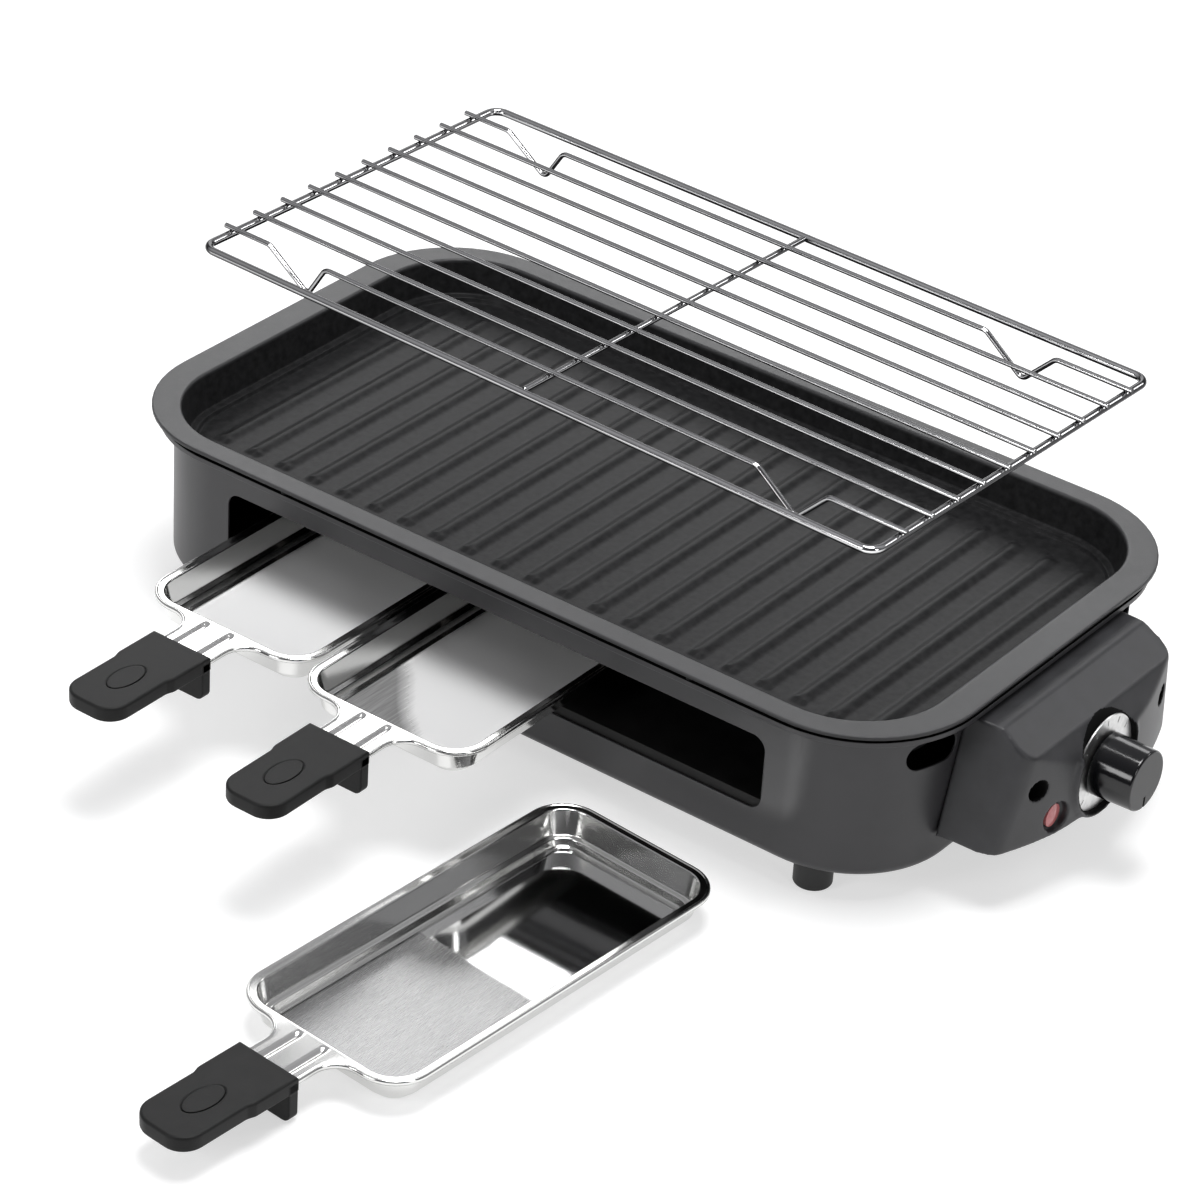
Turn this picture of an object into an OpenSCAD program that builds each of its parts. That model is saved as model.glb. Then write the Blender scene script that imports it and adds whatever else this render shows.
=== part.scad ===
// Electric table-top roaster: ribbed grill plate on a sheet-steel body, a wire rack above it,
// three small pans that slide into the slot in the front, and a control box on one end.
// Millimetres. +X runs towards the control box, -Y is the front with the slot, +Z is up.
// Every sub-part is drawn round the body's centre on the table, and in_frame() then moves
// it so that the origin is the centre of the whole set's outline at table height.

/* [Body] */
// Length of the body over its end walls
body_l = 452; // [440:2:500]
// Width of the body over its front and back walls
body_w = 244; // [242:1:260]
// Height of the body from its underside to the top of its rim
body_h = 79.2; // [78:0.2:90]
// Outer radius of the body's upright corners
body_r = 55; // [50:1:58]
// Thickness of the body's steel sheet
sheet = 1; // [0.8:0.1:1.2]
// Outer radius of the bend between walls and underside
base_bend = 6; // [4:0.5:7]
// Width of the flange turned in under the body
base_flange = 26; // [25:1:34]
// Inner radius of the flare that carries the rim
flare_r = 3; // [2:0.25:3.5]
// Distance that the rim stands out from the wall
rim_out = 7.5; // [6.5:0.25:8.5]
// Height of the lip turned down at the rim's edge
rim_lip = 2.6; // [1.8:0.2:3]

/* [Slot and vents] */
// Length of the slot that the pans slide into
slot_l = 320; // [314:1:324]
// Height of the slot
slot_h = 39; // [38:0.5:41]
// Distance from the rim's top down to the slot's upper edge
slot_drop = 17.7; // [17.2:0.1:19]
// Radius of the slot's corners
slot_r = 7; // [4:0.5:10]
// Length of each oval vent beside the control box
vent_l = 29; // [20:1:32]
// Height of each oval vent
vent_h = 14; // [8:0.5:15]
// Distance from the rim's top down to the vents' middle
vent_drop = 15.8; // [14:0.1:20]
// Turn of each vent round its corner, away from the end wall
vent_turn = 16; // [16:1:30]

/* [Feet] */
// Height of each foot
foot_h = 13.5; // [10:0.5:18]
// Diameter of each foot
foot_d = 18.6; // [15:0.2:19]
// Distance of the feet's centres in from the end walls
foot_in_x = 44; // [40:1:60]
// Distance of the feet's centres in from the front and back walls
foot_in_y = 15.5; // [15:0.25:16]

/* [Grill plate] */
// Distance that the plate stands out past the body's end walls
plate_out_x = 9; // [8.5:0.25:11]
// Distance that the plate stands out past the front and back walls
plate_out_y = 10; // [9.5:0.25:11]
// Thickness of the plate's flange
flange_t = 3.8; // [3.4:0.1:4.4]
// Air gap between the plate's flange and the body's rim
plate_gap = 1.5; // [1.2:0.1:2.2]
// Outer corner radius of the plate
plate_r = 61; // [60:0.5:65]
// Width of the flange at the two ends
flange_end = 16; // [15:0.5:19]
// Width of the flange along the front and back
flange_side = 12; // [12:0.25:14]
// Inner corner radius of the flange
well_r = 47; // [46:1:51]
// Depth of the well from the flange's top to the floor
well_depth = 21; // [19:0.5:21.5]
// Thickness of the well's floor
floor_t = 3; // [2.4:0.2:3.4]
// Thickness of the well's wall
well_wall = 2.2; // [1.8:0.1:2.4]
// Number of ribs
rib_count = 21; // [15:2:21]
// Flat left on the floor beyond the last rib at each end
rib_end_gap = 12.5; // [10:0.5:30]
// Flat left on the floor in front of the ribs
rib_front_gap = 19.6; // [12:0.2:30]
// Flat left on the floor behind the ribs
rib_back_gap = 12.2; // [10:0.2:30]
// Width of each rib at its foot
rib_w = 8.4; // [6.4:0.2:9.6]
// Height of each rib
rib_h = 2.4; // [1.8:0.2:3.6]

/* [Wire rack] */
// Length of the rack between its end wires
rack_l = 399; // [340:1:404]
// Width of the rack between its side wires
rack_w = 215.6; // [190:0.2:219]
// Height of the rack's frame over the plate's flange, as set out
rack_rise = 87; // [40:1:120]
// Turn of the rack about the upright axis
rack_yaw = -2; // [-2.5:0.25:2.5]
// Diameter of the frame's wire
frame_wire = 4; // [3.2:0.1:5]
// Diameter of the wires laid across the frame
bar_wire = 2.6; // [2:0.1:3]
// Number of plain wires between the two that carry the legs
bar_count = 8; // [4:1:10]
// Radius of the frame's corners
rack_r = 7; // [5:0.5:14]
// Depth of the legs bent into the two outer wires
leg_depth = 16.5; // [14:0.5:20]

/* [Pans] */
// Width of each pan over its rim
pan_w = 101; // [94:0.5:101.5]
// Length of each pan over its rim, without the neck
pan_l = 215; // [200:1:220]
// Depth of each pan from rim to underside
pan_h = 18; // [16:0.25:18.5]
// Outer corner radius of each pan's rim
pan_r = 20; // [18:1:26]
// Thickness of the pans' steel sheet
pan_t = 0.8; // [0.6:0.1:1]
// Width of each pan's rim
pan_rim = 4.2; // [3.4:0.2:5.4]
// Length of the neck between pan and handle
neck_l = 24; // [20:0.5:30]
// Width of the neck
neck_w = 31; // [28:0.5:32]
// Length of each handle
handle_l = 65.5; // [56:0.5:76]
// Width of each handle at its root
handle_w = 35; // [34:0.5:40]
// Thickness of each handle
handle_t = 7.5; // [7:0.25:9]
// Gap between the pans in the slot
pan_gap = 2.5; // [1:0.5:3]
// Place of the left pan's centre along the slot
pan_left_x = -97.5; // [-103:0.5:-96]
// How far the left pan is set out from its home
pan_left_out = 99.5; // [40:0.5:105]
// How far the middle pan is set out from its home
pan_middle_out = 109.5; // [40:0.5:115]
// Place of the loose pan's centre along the body
loose_x = 110.9; // [100:0.1:150]
// Distance of the loose pan's centre in front of the body's centre
loose_out = 259.5; // [256:0.5:320]
// Turn of the loose pan about the upright axis
loose_yaw = -4.3; // [-6:0.1:2]

/* [Control box] */
// Length of the control box out from the body's end wall
box_l = 45; // [44:0.5:54]
// Half width of the control box at its top edge
box_half = 61.8; // [61:0.1:66]
// Outward slope of the box's two sides
box_slope = 14.5; // [10:0.5:15]
// Inward turn of the box's two sides towards the front
box_taper = 3; // [0:0.5:4]
// Distance from the rim's top down to the box's top
box_drop = 3.8; // [3.6:0.1:5]
// Distance from the body's underside up to the box's underside
box_bottom_up = 16.5; // [15.5:0.1:18]
// Wall thickness of the control box
box_wall = 2.4; // [2:0.1:2.8]
// Radius in plan of the box's bowed front
box_bow = 185; // [170:5:260]
// Diameter of the recess that holds the dial
dial_d = 48.4; // [44:0.2:48.6]
// Depth of the dial's face below the bowed front
dial_depth = 3; // [2.8:0.1:4]
// Place of the dial's centre along the front
dial_y = -5; // [-6:0.5:0]
// Height of the dial's centre above the body's underside
dial_up = 39.5; // [39:0.1:40.5]
// Diameter of the knob
knob_d = 31; // [28:0.2:34]
// Length of the knob
knob_l = 22; // [16:0.5:25]
// Diameter of the thermostat's shaft
shaft_d = 6; // [5:0.5:6.5]
// Diameter of the lamp's lens
lens_d = 11.4; // [10:0.2:12]
// Diameter of the wells over the cover screws
screw_well_d = 10.6; // [8.6:0.2:11]

/* [Heating element] */
// Diameter of the element's tube
rod_d = 6.5; // [5.5:0.25:6.75]
// Distance of the outer runs from the middle line
outer_run = 88; // [82:1:90]
// Distance of the inner runs from the middle line
inner_run = 30; // [28:1:30]

/* [Hidden] */
$fn = 96;

// Overrun of every cut past the face that it opens
cut = 0.6;
// Gap left between fixed parts that are laid face to face
seat = 0.15;
// Gap under a part that slides or lifts
slide_gap = 0.3;
// Radial gap of a fixed pin or screw in its hole
hole_fit = 0.1;
// Radial gap of the turning shaft in its bush and of the knob on its shaft
shaft_fit = 0.05;

// Levels above the table
body_z = foot_h;
rim_z = body_z + body_h;
flange_z = rim_z + plate_gap;
plate_z = flange_z + flange_t;
floor_z = plate_z - well_depth;
slot_top_z = rim_z - slot_drop;
slot_z = slot_top_z - slot_h;
vent_z = rim_z - vent_drop;

// Place and size of the cover's nuts, which need a flat in the end wall
screw_y = 53;
cover_nut_d = 6.4;
cover_nut_h = 2.4;
cover_nut_edge = 2.8;
nut_flat_half = screw_y + cover_nut_d / 2 + cover_nut_edge;

// Half sizes, corner radius and corner centres of the body
half_l = body_l / 2;
half_w = body_w / 2;
corner_r = min(body_r, half_w - nut_flat_half);
corner_x = half_l - corner_r;
corner_y = half_w - corner_r;

// Bottom plate, laid on the turned-in flange
bottom_t = 0.8;
bottom_clear = 1;
bottom_in = base_bend + bottom_clear;
louvre_count = 9;
louvre_pitch = 26;
louvre_l = 56;
louvre_w = 5;
louvre_y = 38;

// Screws through the underside
base_screw_in = 126;
base_screw_x = half_l - base_screw_in;
base_screw_d = 3;
base_screw_head_d = 6;
base_screw_head_h = 1.8;
base_screw_end = 2;
foot_screw_d = 4;
foot_screw_head_d = 8;
foot_screw_head_h = 3;
foot_recess_d = 9;
foot_recess_h = 6;
foot_round = 1.2;
foot_nut_d = 8;
foot_nut_h = 3;
foot_screw_end = 1.5;
bottom_top_z = body_z + sheet + bottom_t;

// Shelf that the pans slide on
shelf_over = 4.7;
shelf_t = 0.8;
shelf_z = slot_z + shelf_over;
pan_z = shelf_z + shelf_t + slide_gap;
shelf_apron = 15;
shelf_rivet_drop = 10.5;
rivet_in = 116;
rivet_x = half_l - rivet_in;
rivet_d = 3;
rivet_head_d = 5.6;
rivet_head_h = 1;

// Outline and section of the grill plate
plate_l = body_l + 2 * plate_out_x;
plate_w = body_w + 2 * plate_out_y;
plate_corner_r = min(plate_r, corner_r + plate_out_x);
flange_round = 1.2;
well_l = plate_l - 2 * flange_end;
well_w = plate_w - 2 * flange_side;
well_round = 2.4;
wall_top_share = 0.97;
well_draft = 4;
ledge_w = 3;
ledge_h = 2.4;
ledge_draft = 0.8;
floor_lap = 4;
pad_d = 3.6;
pad_in = 106;
pad_x = half_l - pad_in;
flat_l = well_l - 2 * well_run();
flat_w = well_w - 2 * well_run();
rib_l = flat_w - rib_front_gap - rib_back_gap;
rib_pitch = (flat_l - 2 * rib_end_gap - rib_w) / (rib_count - 1);
rib_shift = (rib_front_gap - rib_back_gap) / 2;
rib_sink = 1;
rib_top_share = 0.6;
rib_shoulder_share = 0.84;
rib_shoulder_rise_share = 0.7;

// Wire rack
rack_z = plate_z + rack_rise;
rack_x = 4.2;
rack_y = 2.8;
cross_wire = 3;
wire_gap = 0.05;
bar_over = 3.6;
bar_pitch = rack_w / (bar_count + 3);
bar_z = rack_z + (frame_wire + bar_wire) / 2 + wire_gap;
leg_left_in = 25;
leg_left_low = 50;
leg_left_out = 61;
leg_right_in = 39;
leg_right_low = 56;
leg_right_out = 79;

// Pans
pan_back_gap = 7;
pan_home_y = half_w - sheet - pan_back_gap - pan_l / 2;
pan_middle_x = pan_left_x + pan_w + pan_gap;
pan_lip = 1.8;
pan_draft = 2.2;
pan_step_z = 5;
pan_step_w = 2.4;
pan_step_h = 0.5;
pan_low_draft = 1.6;
pan_floor_lap = 2;
neck_fillet = 12;
neck_lap = 3;
bead_x = 7.5;
bead_r = 2;
bead_depth = 0.9;
tang_l = 38;
tang_w = 22;
handle_rise = 4;
handle_slim = 1.3;
handle_slim_from = 24.5;
handle_slim_run = 4;
handle_front_r = 11;
handle_tab_t = 5.5;
handle_tab_r = 4;
oval_from = 38;
oval_l = 24;
oval_w = 13.5;
oval_depth = 0.5;
handle_screw_from = 22;
handle_screw_d = 3;
handle_screw_head_d = 5.6;
handle_screw_head_h = 1.8;
handle_screw_sink = 2.2;
handle_screw_top = 1.6;

// Heating element: heights and the bends of its run
element_clear = 3.2;
element_z = pan_z + pan_h + element_clear + rod_d / 2;
turn_flat = 2;
run_left_in = 27;
run_right_in = 38;
inner_right_in = 24;
bend_r = 12;
cold_y = 34;
rod_out = 13;
rod_hole_fit = 0.6;
collar_d = 13;
collar_t = 2;
pin_d = 2.4;
pin_l = 6;
tab_l = 7;
tab_w = 6.3;
tab_t = 0.8;
run_left_x = -(half_l - run_left_in);
run_right_x = half_l - run_right_in;
inner_right_x = half_l - inner_right_in;
rod_end_x = half_l + rod_out;
tab_x = rod_end_x + pin_l + tab_l / 2;

// Strips that carry the element
support_in = 60;
support_x = half_l - support_in;
support_w = 9;
support_t = 1;
support_gap = 0.1;
support_tab = 12;
support_z = element_z + rod_d / 2 + support_gap;
saddle_t = 0.8;
saddle_l = 8;
saddle_ear = 4;

// Control box
box_z = body_z + box_bottom_up;
box_top_z = rim_z - box_drop;
wall_x = half_l + seat;
front_x = half_l + box_l;
box_flat = 19;
box_brow = 9;
box_brow_drop = 11;
box_edge_in = 2.6;
box_edge_drop = 22;
box_bottom_r = 6;
box_corner_turns = [34, 54, 74];
box_corner_r = 8;

// Dial, knob and thermostat, all on one axis
dial_z = body_z + dial_up;
dial_t = 0.8;
dial_fit = 0.2;
dial_hole_d = 11;
tick_count = 11;
tick_l = 3;
tick_w = 0.8;
tick_depth = 0.25;
tick_in = 1.6;
tick_turn = 27;
pocket_x = front_x - dial_depth - dial_t;
dial_x = pocket_x + dial_t;
knob_gap = 1.3;
knob_x = dial_x + knob_gap;
knob_front_x = knob_x + knob_l;
knob_taper = 0.5;
knob_round = 1.2;
knob_shell = 2.2;
knob_hub_d = 11;
knob_face_t = 3;
mark_w = 1.8;
mark_l = 7;
mark_depth = 0.7;
shaft_flat = 1;
shaft_in = 8;
shaft_end_x = knob_front_x - knob_face_t - shaft_fit;
bush_d = 9.6;
bush_l = 5.2;
thermo_out = 14;
thermo_l = 14;
thermo_w = 28;
thermo_h = 26;
thermo_x = half_l + thermo_out;
thermo_front_x = thermo_x + thermo_l;
thermo_nut_d = 13;
thermo_nut_h = 2.4;
bracket_t = 1.2;
bracket_w = 18;
bracket_foot = 7;
bracket_half = thermo_h / 2 + seat + bracket_t;
bracket_screw_d = 3;
bracket_screw_head_d = 5.6;
bracket_screw_head_h = 1.8;
bracket_screw_end = 3;

// Lamp
lamp_y = -40;
lamp_up = 10.2;
lamp_sink = 3;
lamp_seat_depth = 1.2;
lamp_rise = 2.2;
lamp_recess_d = 15.6;
lamp_dome = 0.8;
lamp_wall = 1.8;
lamp_body_d = 8;
lamp_body_l = 13;
lamp_z = box_z + lamp_up;
lamp_floor_x = bow_x(lamp_y) - lamp_sink;
lamp_seat_x = lamp_floor_x - lamp_seat_depth;
lamp_back_x = lamp_seat_x - lamp_body_l;

// Cover screws
screw_up = 29.5;
screw_floor_out = 10;
screw_wall = 1.8;
cover_screw_d = 3;
cover_screw_head_d = 6.4;
cover_screw_head_h = 2.4;
cover_screw_end = 1.2;
screw_z = box_z + screw_up;
screw_floor_x = half_l + screw_floor_out;

// Terminals, leads and cord inlet
block_y = 34;
block_up = 13.2;
block_l = 18;
block_w = 26;
block_h = 13;
block_hole_d = 3.4;
block_pitch = 8;
block_z = box_z + block_up;
block_screw_head_h = 2;
block_screw_in = 6;
lead_d = 2.4;
lead_bend = 4;
lead_gap = 0.05;
lead_low = 7;
lead_side_x = half_l + 16;
lead_side_in = 2.5;
lead_block_in = 5;
lamp_lead_run = 6;
inlet_out = 18;
inlet_d = 11;
inlet_bore_d = 7.4;
inlet_lip_d = 15;
inlet_lip_t = 1.6;
inlet_in = 3;
inlet_x = half_l + inlet_out;

// Outline of the whole set, for the origin
handle_far = pan_l / 2 + neck_l + handle_l;
handle_reach = handle_far - handle_front_r;
handle_side = handle_w / 2 - handle_slim - handle_front_r;
set_front_y = -loose_out - handle_reach * cos(loose_yaw) - handle_side * abs(sin(loose_yaw)) - handle_front_r;
mid_x = (knob_front_x - plate_l / 2) / 2;
mid_y = (set_front_y + plate_w / 2) / 2;

// Place of the bowed front at a distance y from the middle
function bow_x(y) = front_x - box_bow + sqrt(box_bow * box_bow - y * y);

module in_frame() {
  translate([-mid_x, -mid_y, 0]) children();
}

// Rectangle with round corners
module round_plan(l, w, r) {
  square([l - 2 * r, w], center = true);
  square([l, w - 2 * r], center = true);
  for (x = [-1, 1], y = [-1, 1])
    translate([x * (l / 2 - r), y * (w / 2 - r)]) circle(r);
}

// Long hole with half-round ends
module long_hole(l, w) {
  square([l - w, w], center = true);
  for (x = [-1, 1]) translate([x * (l - w) / 2, 0]) circle(d = w);
}

// Slab with round corners, standing on the height z
module round_slab(l, w, r, z, h) {
  translate([0, 0, z]) linear_extrude(h) round_plan(l, w, r);
}

// Quarter of a ring: side and up give its quadrant
module quarter_ring(r_in, r_out, side, up) {
  intersection() {
    difference() {
      circle(r_out);
      circle(r_in);
    }
    translate([side < 0 ? -r_out : 0, up < 0 ? -r_out : 0]) square(r_out);
  }
}

// Section (x outwards, y up) carried round a rectangle with round corners
module carried_round(l, w, r) {
  for (turn = [0, 180]) rotate([0, 0, turn]) {
    translate([-(l / 2 - r), w / 2, 0]) rotate([90, 0, 90])
      linear_extrude(l - 2 * r) children();
    translate([l / 2, w / 2 - r, 0]) rotate([90, 0, 0])
      linear_extrude(w - 2 * r) children();
    translate([l / 2 - r, w / 2 - r, 0])
      rotate_extrude(angle = 90) translate([r, 0]) children();
    translate([-(l / 2 - r), w / 2 - r, 0]) rotate([0, 0, 90])
      rotate_extrude(angle = 90) translate([r, 0]) children();
  }
}

// Cylinder along +X from the place x
module along_x(x, l, d) {
  translate([x, 0, 0]) rotate([0, 90, 0]) cylinder(d = d, h = l);
}

// Round wire bent in one plane: straight runs between points, and a bend at each inner point
module bent_bar(points, bends, d) {
  last = len(points) - 1;
  runs = [for (i = [0 : last - 1]) points[i + 1] - points[i]];
  angles = [for (run = runs) atan2(run[1], run[0])];
  turns = [for (i = [1 : last - 1]) wrapped(angles[i] - angles[i - 1])];
  trims = [for (i = [0 : last]) i == 0 || i == last ? 0 : bends[i - 1] * tan(abs(turns[i - 1]) / 2)];
  lengths = [for (i = [0 : last - 1]) norm(runs[i]) - trims[i] - trims[i + 1]];
  translate([points[0][0], points[0][1], 0]) rotate([0, 0, angles[0]]) wire_from(0, lengths, turns, bends, d);
}

// Straight run along +X and the bend after it, with the rest of the wire following on
module wire_from(i, lengths, turns, bends, d) {
  rotate([0, 90, 0]) cylinder(d = d, h = lengths[i]);
  if (i < len(turns)) {
    hand = sign(turns[i]);
    translate([lengths[i], hand * bends[i], 0]) {
      rotate([0, 0, hand > 0 ? -90 : 90 + turns[i]])
        rotate_extrude(angle = abs(turns[i])) translate([bends[i], 0]) circle(d = d);
      rotate([0, 0, turns[i]]) translate([0, -hand * bends[i], 0])
        wire_from(i + 1, lengths, turns, bends, d);
    }
  }
}

// Angle brought into the range from -180 to 180
function wrapped(a) = a > 180 ? a - 360 : a < -180 ? a + 360 : a;

// Screw or rivet along +Z: its head lies under the origin and its shank above it
module fastener(d, l, head_d, head_h) {
  translate([0, 0, -head_h]) cylinder(d = head_d, h = head_h);
  translate([0, 0, -head_h / 2]) cylinder(d = d, h = l + head_h / 2);
}

// Six-sided nut along +Z with a clear bore
module nut(d, h, bore) {
  difference() {
    cylinder(d = d, h = h, $fn = 6);
    translate([0, 0, -cut]) cylinder(d = bore, h = h + 2 * cut);
  }
}

module at_foot(x, y) {
  translate([x * (half_l - foot_in_x), y * (half_w - foot_in_y), 0]) children();
}

module at_feet() {
  for (x = [-1, 1], y = [-1, 1]) at_foot(x, y) children();
}

module at_base_screws() {
  for (x = [-1, 0, 1], y = [-1, 1])
    translate([x * base_screw_x, y * (half_w - foot_in_y), body_z]) children();
}

module at_shelf_rivets() {
  for (x = [-1, 0, 1])
    translate([x * rivet_x, half_w, shelf_z + shelf_t - shelf_rivet_drop]) rotate([90, 0, 0]) children();
}

module at_cover_screws() {
  for (y = [-1, 1]) translate([0, y * screw_y, screw_z]) children();
}

module at_bracket_screws() {
  for (side = [-1, 1])
    translate([0, dial_y, dial_z + side * (bracket_half + bracket_foot / 2)]) children();
}

module at_pins() {
  for (y = [-1, 1]) translate([0, y * cold_y, element_z]) children();
}

// Section of the body's sheet, measured from the outer face of its wall
module body_section() {
  wall_low = body_z + base_bend;
  wall_high = rim_z - sheet - flare_r;
  translate([-base_flange, body_z]) square([base_flange - base_bend, sheet]);
  translate([-base_bend, wall_low]) quarter_ring(base_bend - sheet, base_bend, 1, -1);
  translate([-sheet, wall_low]) square([sheet, wall_high - wall_low]);
  translate([flare_r, wall_high]) quarter_ring(flare_r, flare_r + sheet, -1, 1);
  translate([flare_r, rim_z - sheet]) square([rim_out - flare_r, sheet]);
  translate([rim_out - sheet, rim_z - rim_lip]) square([sheet, rim_lip]);
}

module body_shell() {
  color([0.27, 0.265, 0.28]) in_frame() difference() {
    carried_round(body_l, body_w, corner_r) body_section();
    translate([0, -half_w - cut, slot_z + slot_h / 2]) rotate([-90, 0, 0])
      linear_extrude(sheet + 2 * cut) round_plan(slot_l, slot_h, slot_r);
    for (y = [-1, 1]) translate([corner_x, y * corner_y, vent_z]) rotate([0, 0, y * vent_turn])
      translate([corner_r - base_bend, 0, 0]) rotate([90, 0, 90])
        linear_extrude(base_bend + cut) long_hole(vent_l, vent_h);
    at_pins() along_x(half_l - sheet - cut, sheet + 2 * cut, rod_d + 2 * rod_hole_fit);
    at_cover_screws() along_x(half_l - sheet - cut, sheet + 2 * cut, cover_screw_d + 2 * hole_fit);
    at_bracket_screws() along_x(half_l - sheet - cut, sheet + 2 * cut, bracket_screw_d + 2 * hole_fit);
    translate([0, block_y, block_z])
      along_x(half_l - sheet - cut, sheet + 2 * cut, bracket_screw_d + 2 * hole_fit);
    at_feet() translate([0, 0, body_z - cut])
      cylinder(d = foot_screw_d + 2 * hole_fit, h = sheet + 2 * cut);
    at_base_screws() translate([0, 0, -cut])
      cylinder(d = base_screw_d + 2 * hole_fit, h = sheet + 2 * cut);
    at_shelf_rivets() translate([0, 0, -cut])
      cylinder(d = rivet_d + 2 * hole_fit, h = sheet + 2 * cut);
  }
}

module bottom_plate() {
  color([0.2, 0.2, 0.21]) in_frame() difference() {
    round_slab(body_l - 2 * bottom_in, body_w - 2 * bottom_in, corner_r - bottom_in, body_z + sheet, bottom_t);
    at_feet() translate([0, 0, body_z]) cylinder(d = foot_screw_d + 2 * hole_fit, h = 2 * sheet + bottom_t);
    at_base_screws() cylinder(d = base_screw_d + 2 * hole_fit, h = 2 * sheet + bottom_t);
    for (i = [0 : louvre_count - 1], y = [-1, 1])
      translate([(i - (louvre_count - 1) / 2) * louvre_pitch, y * louvre_y, body_z])
        rotate([0, 0, 90]) linear_extrude(2 * sheet + bottom_t) long_hole(louvre_l, louvre_w);
  }
}

module bottom_screws() {
  color([0.6, 0.6, 0.62]) in_frame() at_base_screws()
    fastener(base_screw_d, sheet + bottom_t + base_screw_end, base_screw_head_d, base_screw_head_h);
}

// Foot: a round stud with a rounded lower edge and a deep recess for its screw
module foot(x, y) {
  color([0.07, 0.07, 0.07]) in_frame() at_foot(x, y) difference() {
    rotate_extrude() {
      translate([0, foot_round]) square([foot_d / 2, foot_h - foot_round]);
      square([foot_d / 2 - foot_round, foot_h]);
      translate([foot_d / 2 - foot_round, foot_round]) circle(foot_round);
    }
    translate([0, 0, -cut]) cylinder(d = foot_recess_d, h = foot_recess_h + cut);
    cylinder(d = foot_screw_d + 2 * hole_fit, h = foot_h + cut);
  }
}

module foot_screws() {
  color([0.55, 0.55, 0.57]) in_frame() at_feet() translate([0, 0, foot_recess_h])
    fastener(foot_screw_d, bottom_top_z - foot_recess_h + foot_nut_h + foot_screw_end,
      foot_screw_head_d, foot_screw_head_h);
}

module foot_nuts() {
  color([0.6, 0.6, 0.62]) in_frame() at_feet() translate([0, 0, bottom_top_z])
    nut(foot_nut_d, foot_nut_h, foot_screw_d + 2 * hole_fit);
}

// Shelf: a tray turned down along the front and back, riveted to the back wall
module pan_shelf() {
  shelf_in = sheet + seat;
  color([0.5, 0.5, 0.51]) in_frame() difference() {
    union() {
      round_slab(body_l - 2 * shelf_in, body_w - 2 * shelf_in, corner_r - shelf_in, shelf_z, shelf_t);
      for (side = [0, 180]) rotate([0, 0, side])
        translate([-corner_x, -half_w + shelf_in, shelf_z + shelf_t - shelf_apron])
          cube([2 * corner_x, shelf_t, shelf_apron]);
    }
    at_shelf_rivets() cylinder(d = rivet_d + 2 * hole_fit, h = 2 * shelf_in + shelf_t);
  }
}

module shelf_rivets() {
  grip = sheet + seat + shelf_t;
  color([0.45, 0.45, 0.46]) in_frame() at_shelf_rivets() {
    fastener(rivet_d, grip, rivet_head_d, rivet_head_h);
    translate([0, 0, grip]) cylinder(d = rivet_head_d, h = rivet_head_h);
  }
}

// Tube bent to a closed pattern of four long runs, with both ends through the end wall
module heating_element() {
  outer_turn = (outer_run - inner_run - turn_flat) / 2;
  inner_turn = inner_run - turn_flat / 2;
  color([0.36, 0.34, 0.32]) in_frame() translate([0, 0, element_z])
    bent_bar(
      [
        [rod_end_x, -cold_y], [run_right_x, -cold_y], [run_right_x, -outer_run],
        [run_left_x, -outer_run], [run_left_x, -inner_run], [inner_right_x, -inner_run],
        [inner_right_x, inner_run], [run_left_x, inner_run], [run_left_x, outer_run],
        [run_right_x, outer_run], [run_right_x, cold_y], [rod_end_x, cold_y]
      ],
      [bend_r, bend_r, outer_turn, outer_turn, inner_turn, inner_turn, outer_turn, outer_turn, bend_r, bend_r],
      rod_d
    );
}

module element_collars() {
  color([0.7, 0.68, 0.62]) in_frame() at_pins() difference() {
    along_x(half_l, collar_t, collar_d);
    along_x(half_l - cut, collar_t + 2 * cut, rod_d + 2 * hole_fit);
  }
}

module element_pins() {
  color([0.75, 0.72, 0.6]) in_frame() at_pins() {
    along_x(rod_end_x, pin_l + tab_l / 2, pin_d);
    translate([rod_end_x + pin_l, -tab_t / 2, -tab_w / 2]) cube([tab_l, tab_t, tab_w]);
  }
}

// Strip across the body over the element, with both ends turned down against the walls
module element_support(side) {
  reach = half_w - sheet - support_gap;
  color([0.45, 0.44, 0.43]) in_frame() translate([side * support_x - support_w / 2, 0, support_z]) {
    translate([0, -reach, 0]) cube([support_w, 2 * reach, support_t]);
    for (y = [-reach, reach - support_t])
      translate([0, y, -support_tab]) cube([support_w, support_t, support_tab + support_t]);
  }
}

// Strap under one run of the element, spot-welded to the strip above
module saddle_section() {
  r_in = rod_d / 2 + hole_fit;
  r_out = r_in + saddle_t;
  top = rod_d / 2 + support_gap;
  quarter_ring(r_in, r_out, 1, -1);
  quarter_ring(r_in, r_out, -1, -1);
  for (x = [-r_out, r_in]) translate([x, 0]) square([saddle_t, top]);
  for (x = [-r_out - saddle_ear, r_out]) translate([x, top - saddle_t]) square([saddle_ear, saddle_t]);
}

module element_saddles() {
  color([0.45, 0.44, 0.43]) in_frame()
    for (x = [-1, 1], y = [-outer_run, -inner_run, inner_run, outer_run])
      translate([x * support_x - saddle_l / 2, y, element_z]) rotate([90, 0, 90])
        linear_extrude(saddle_l) saddle_section();
}

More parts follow.
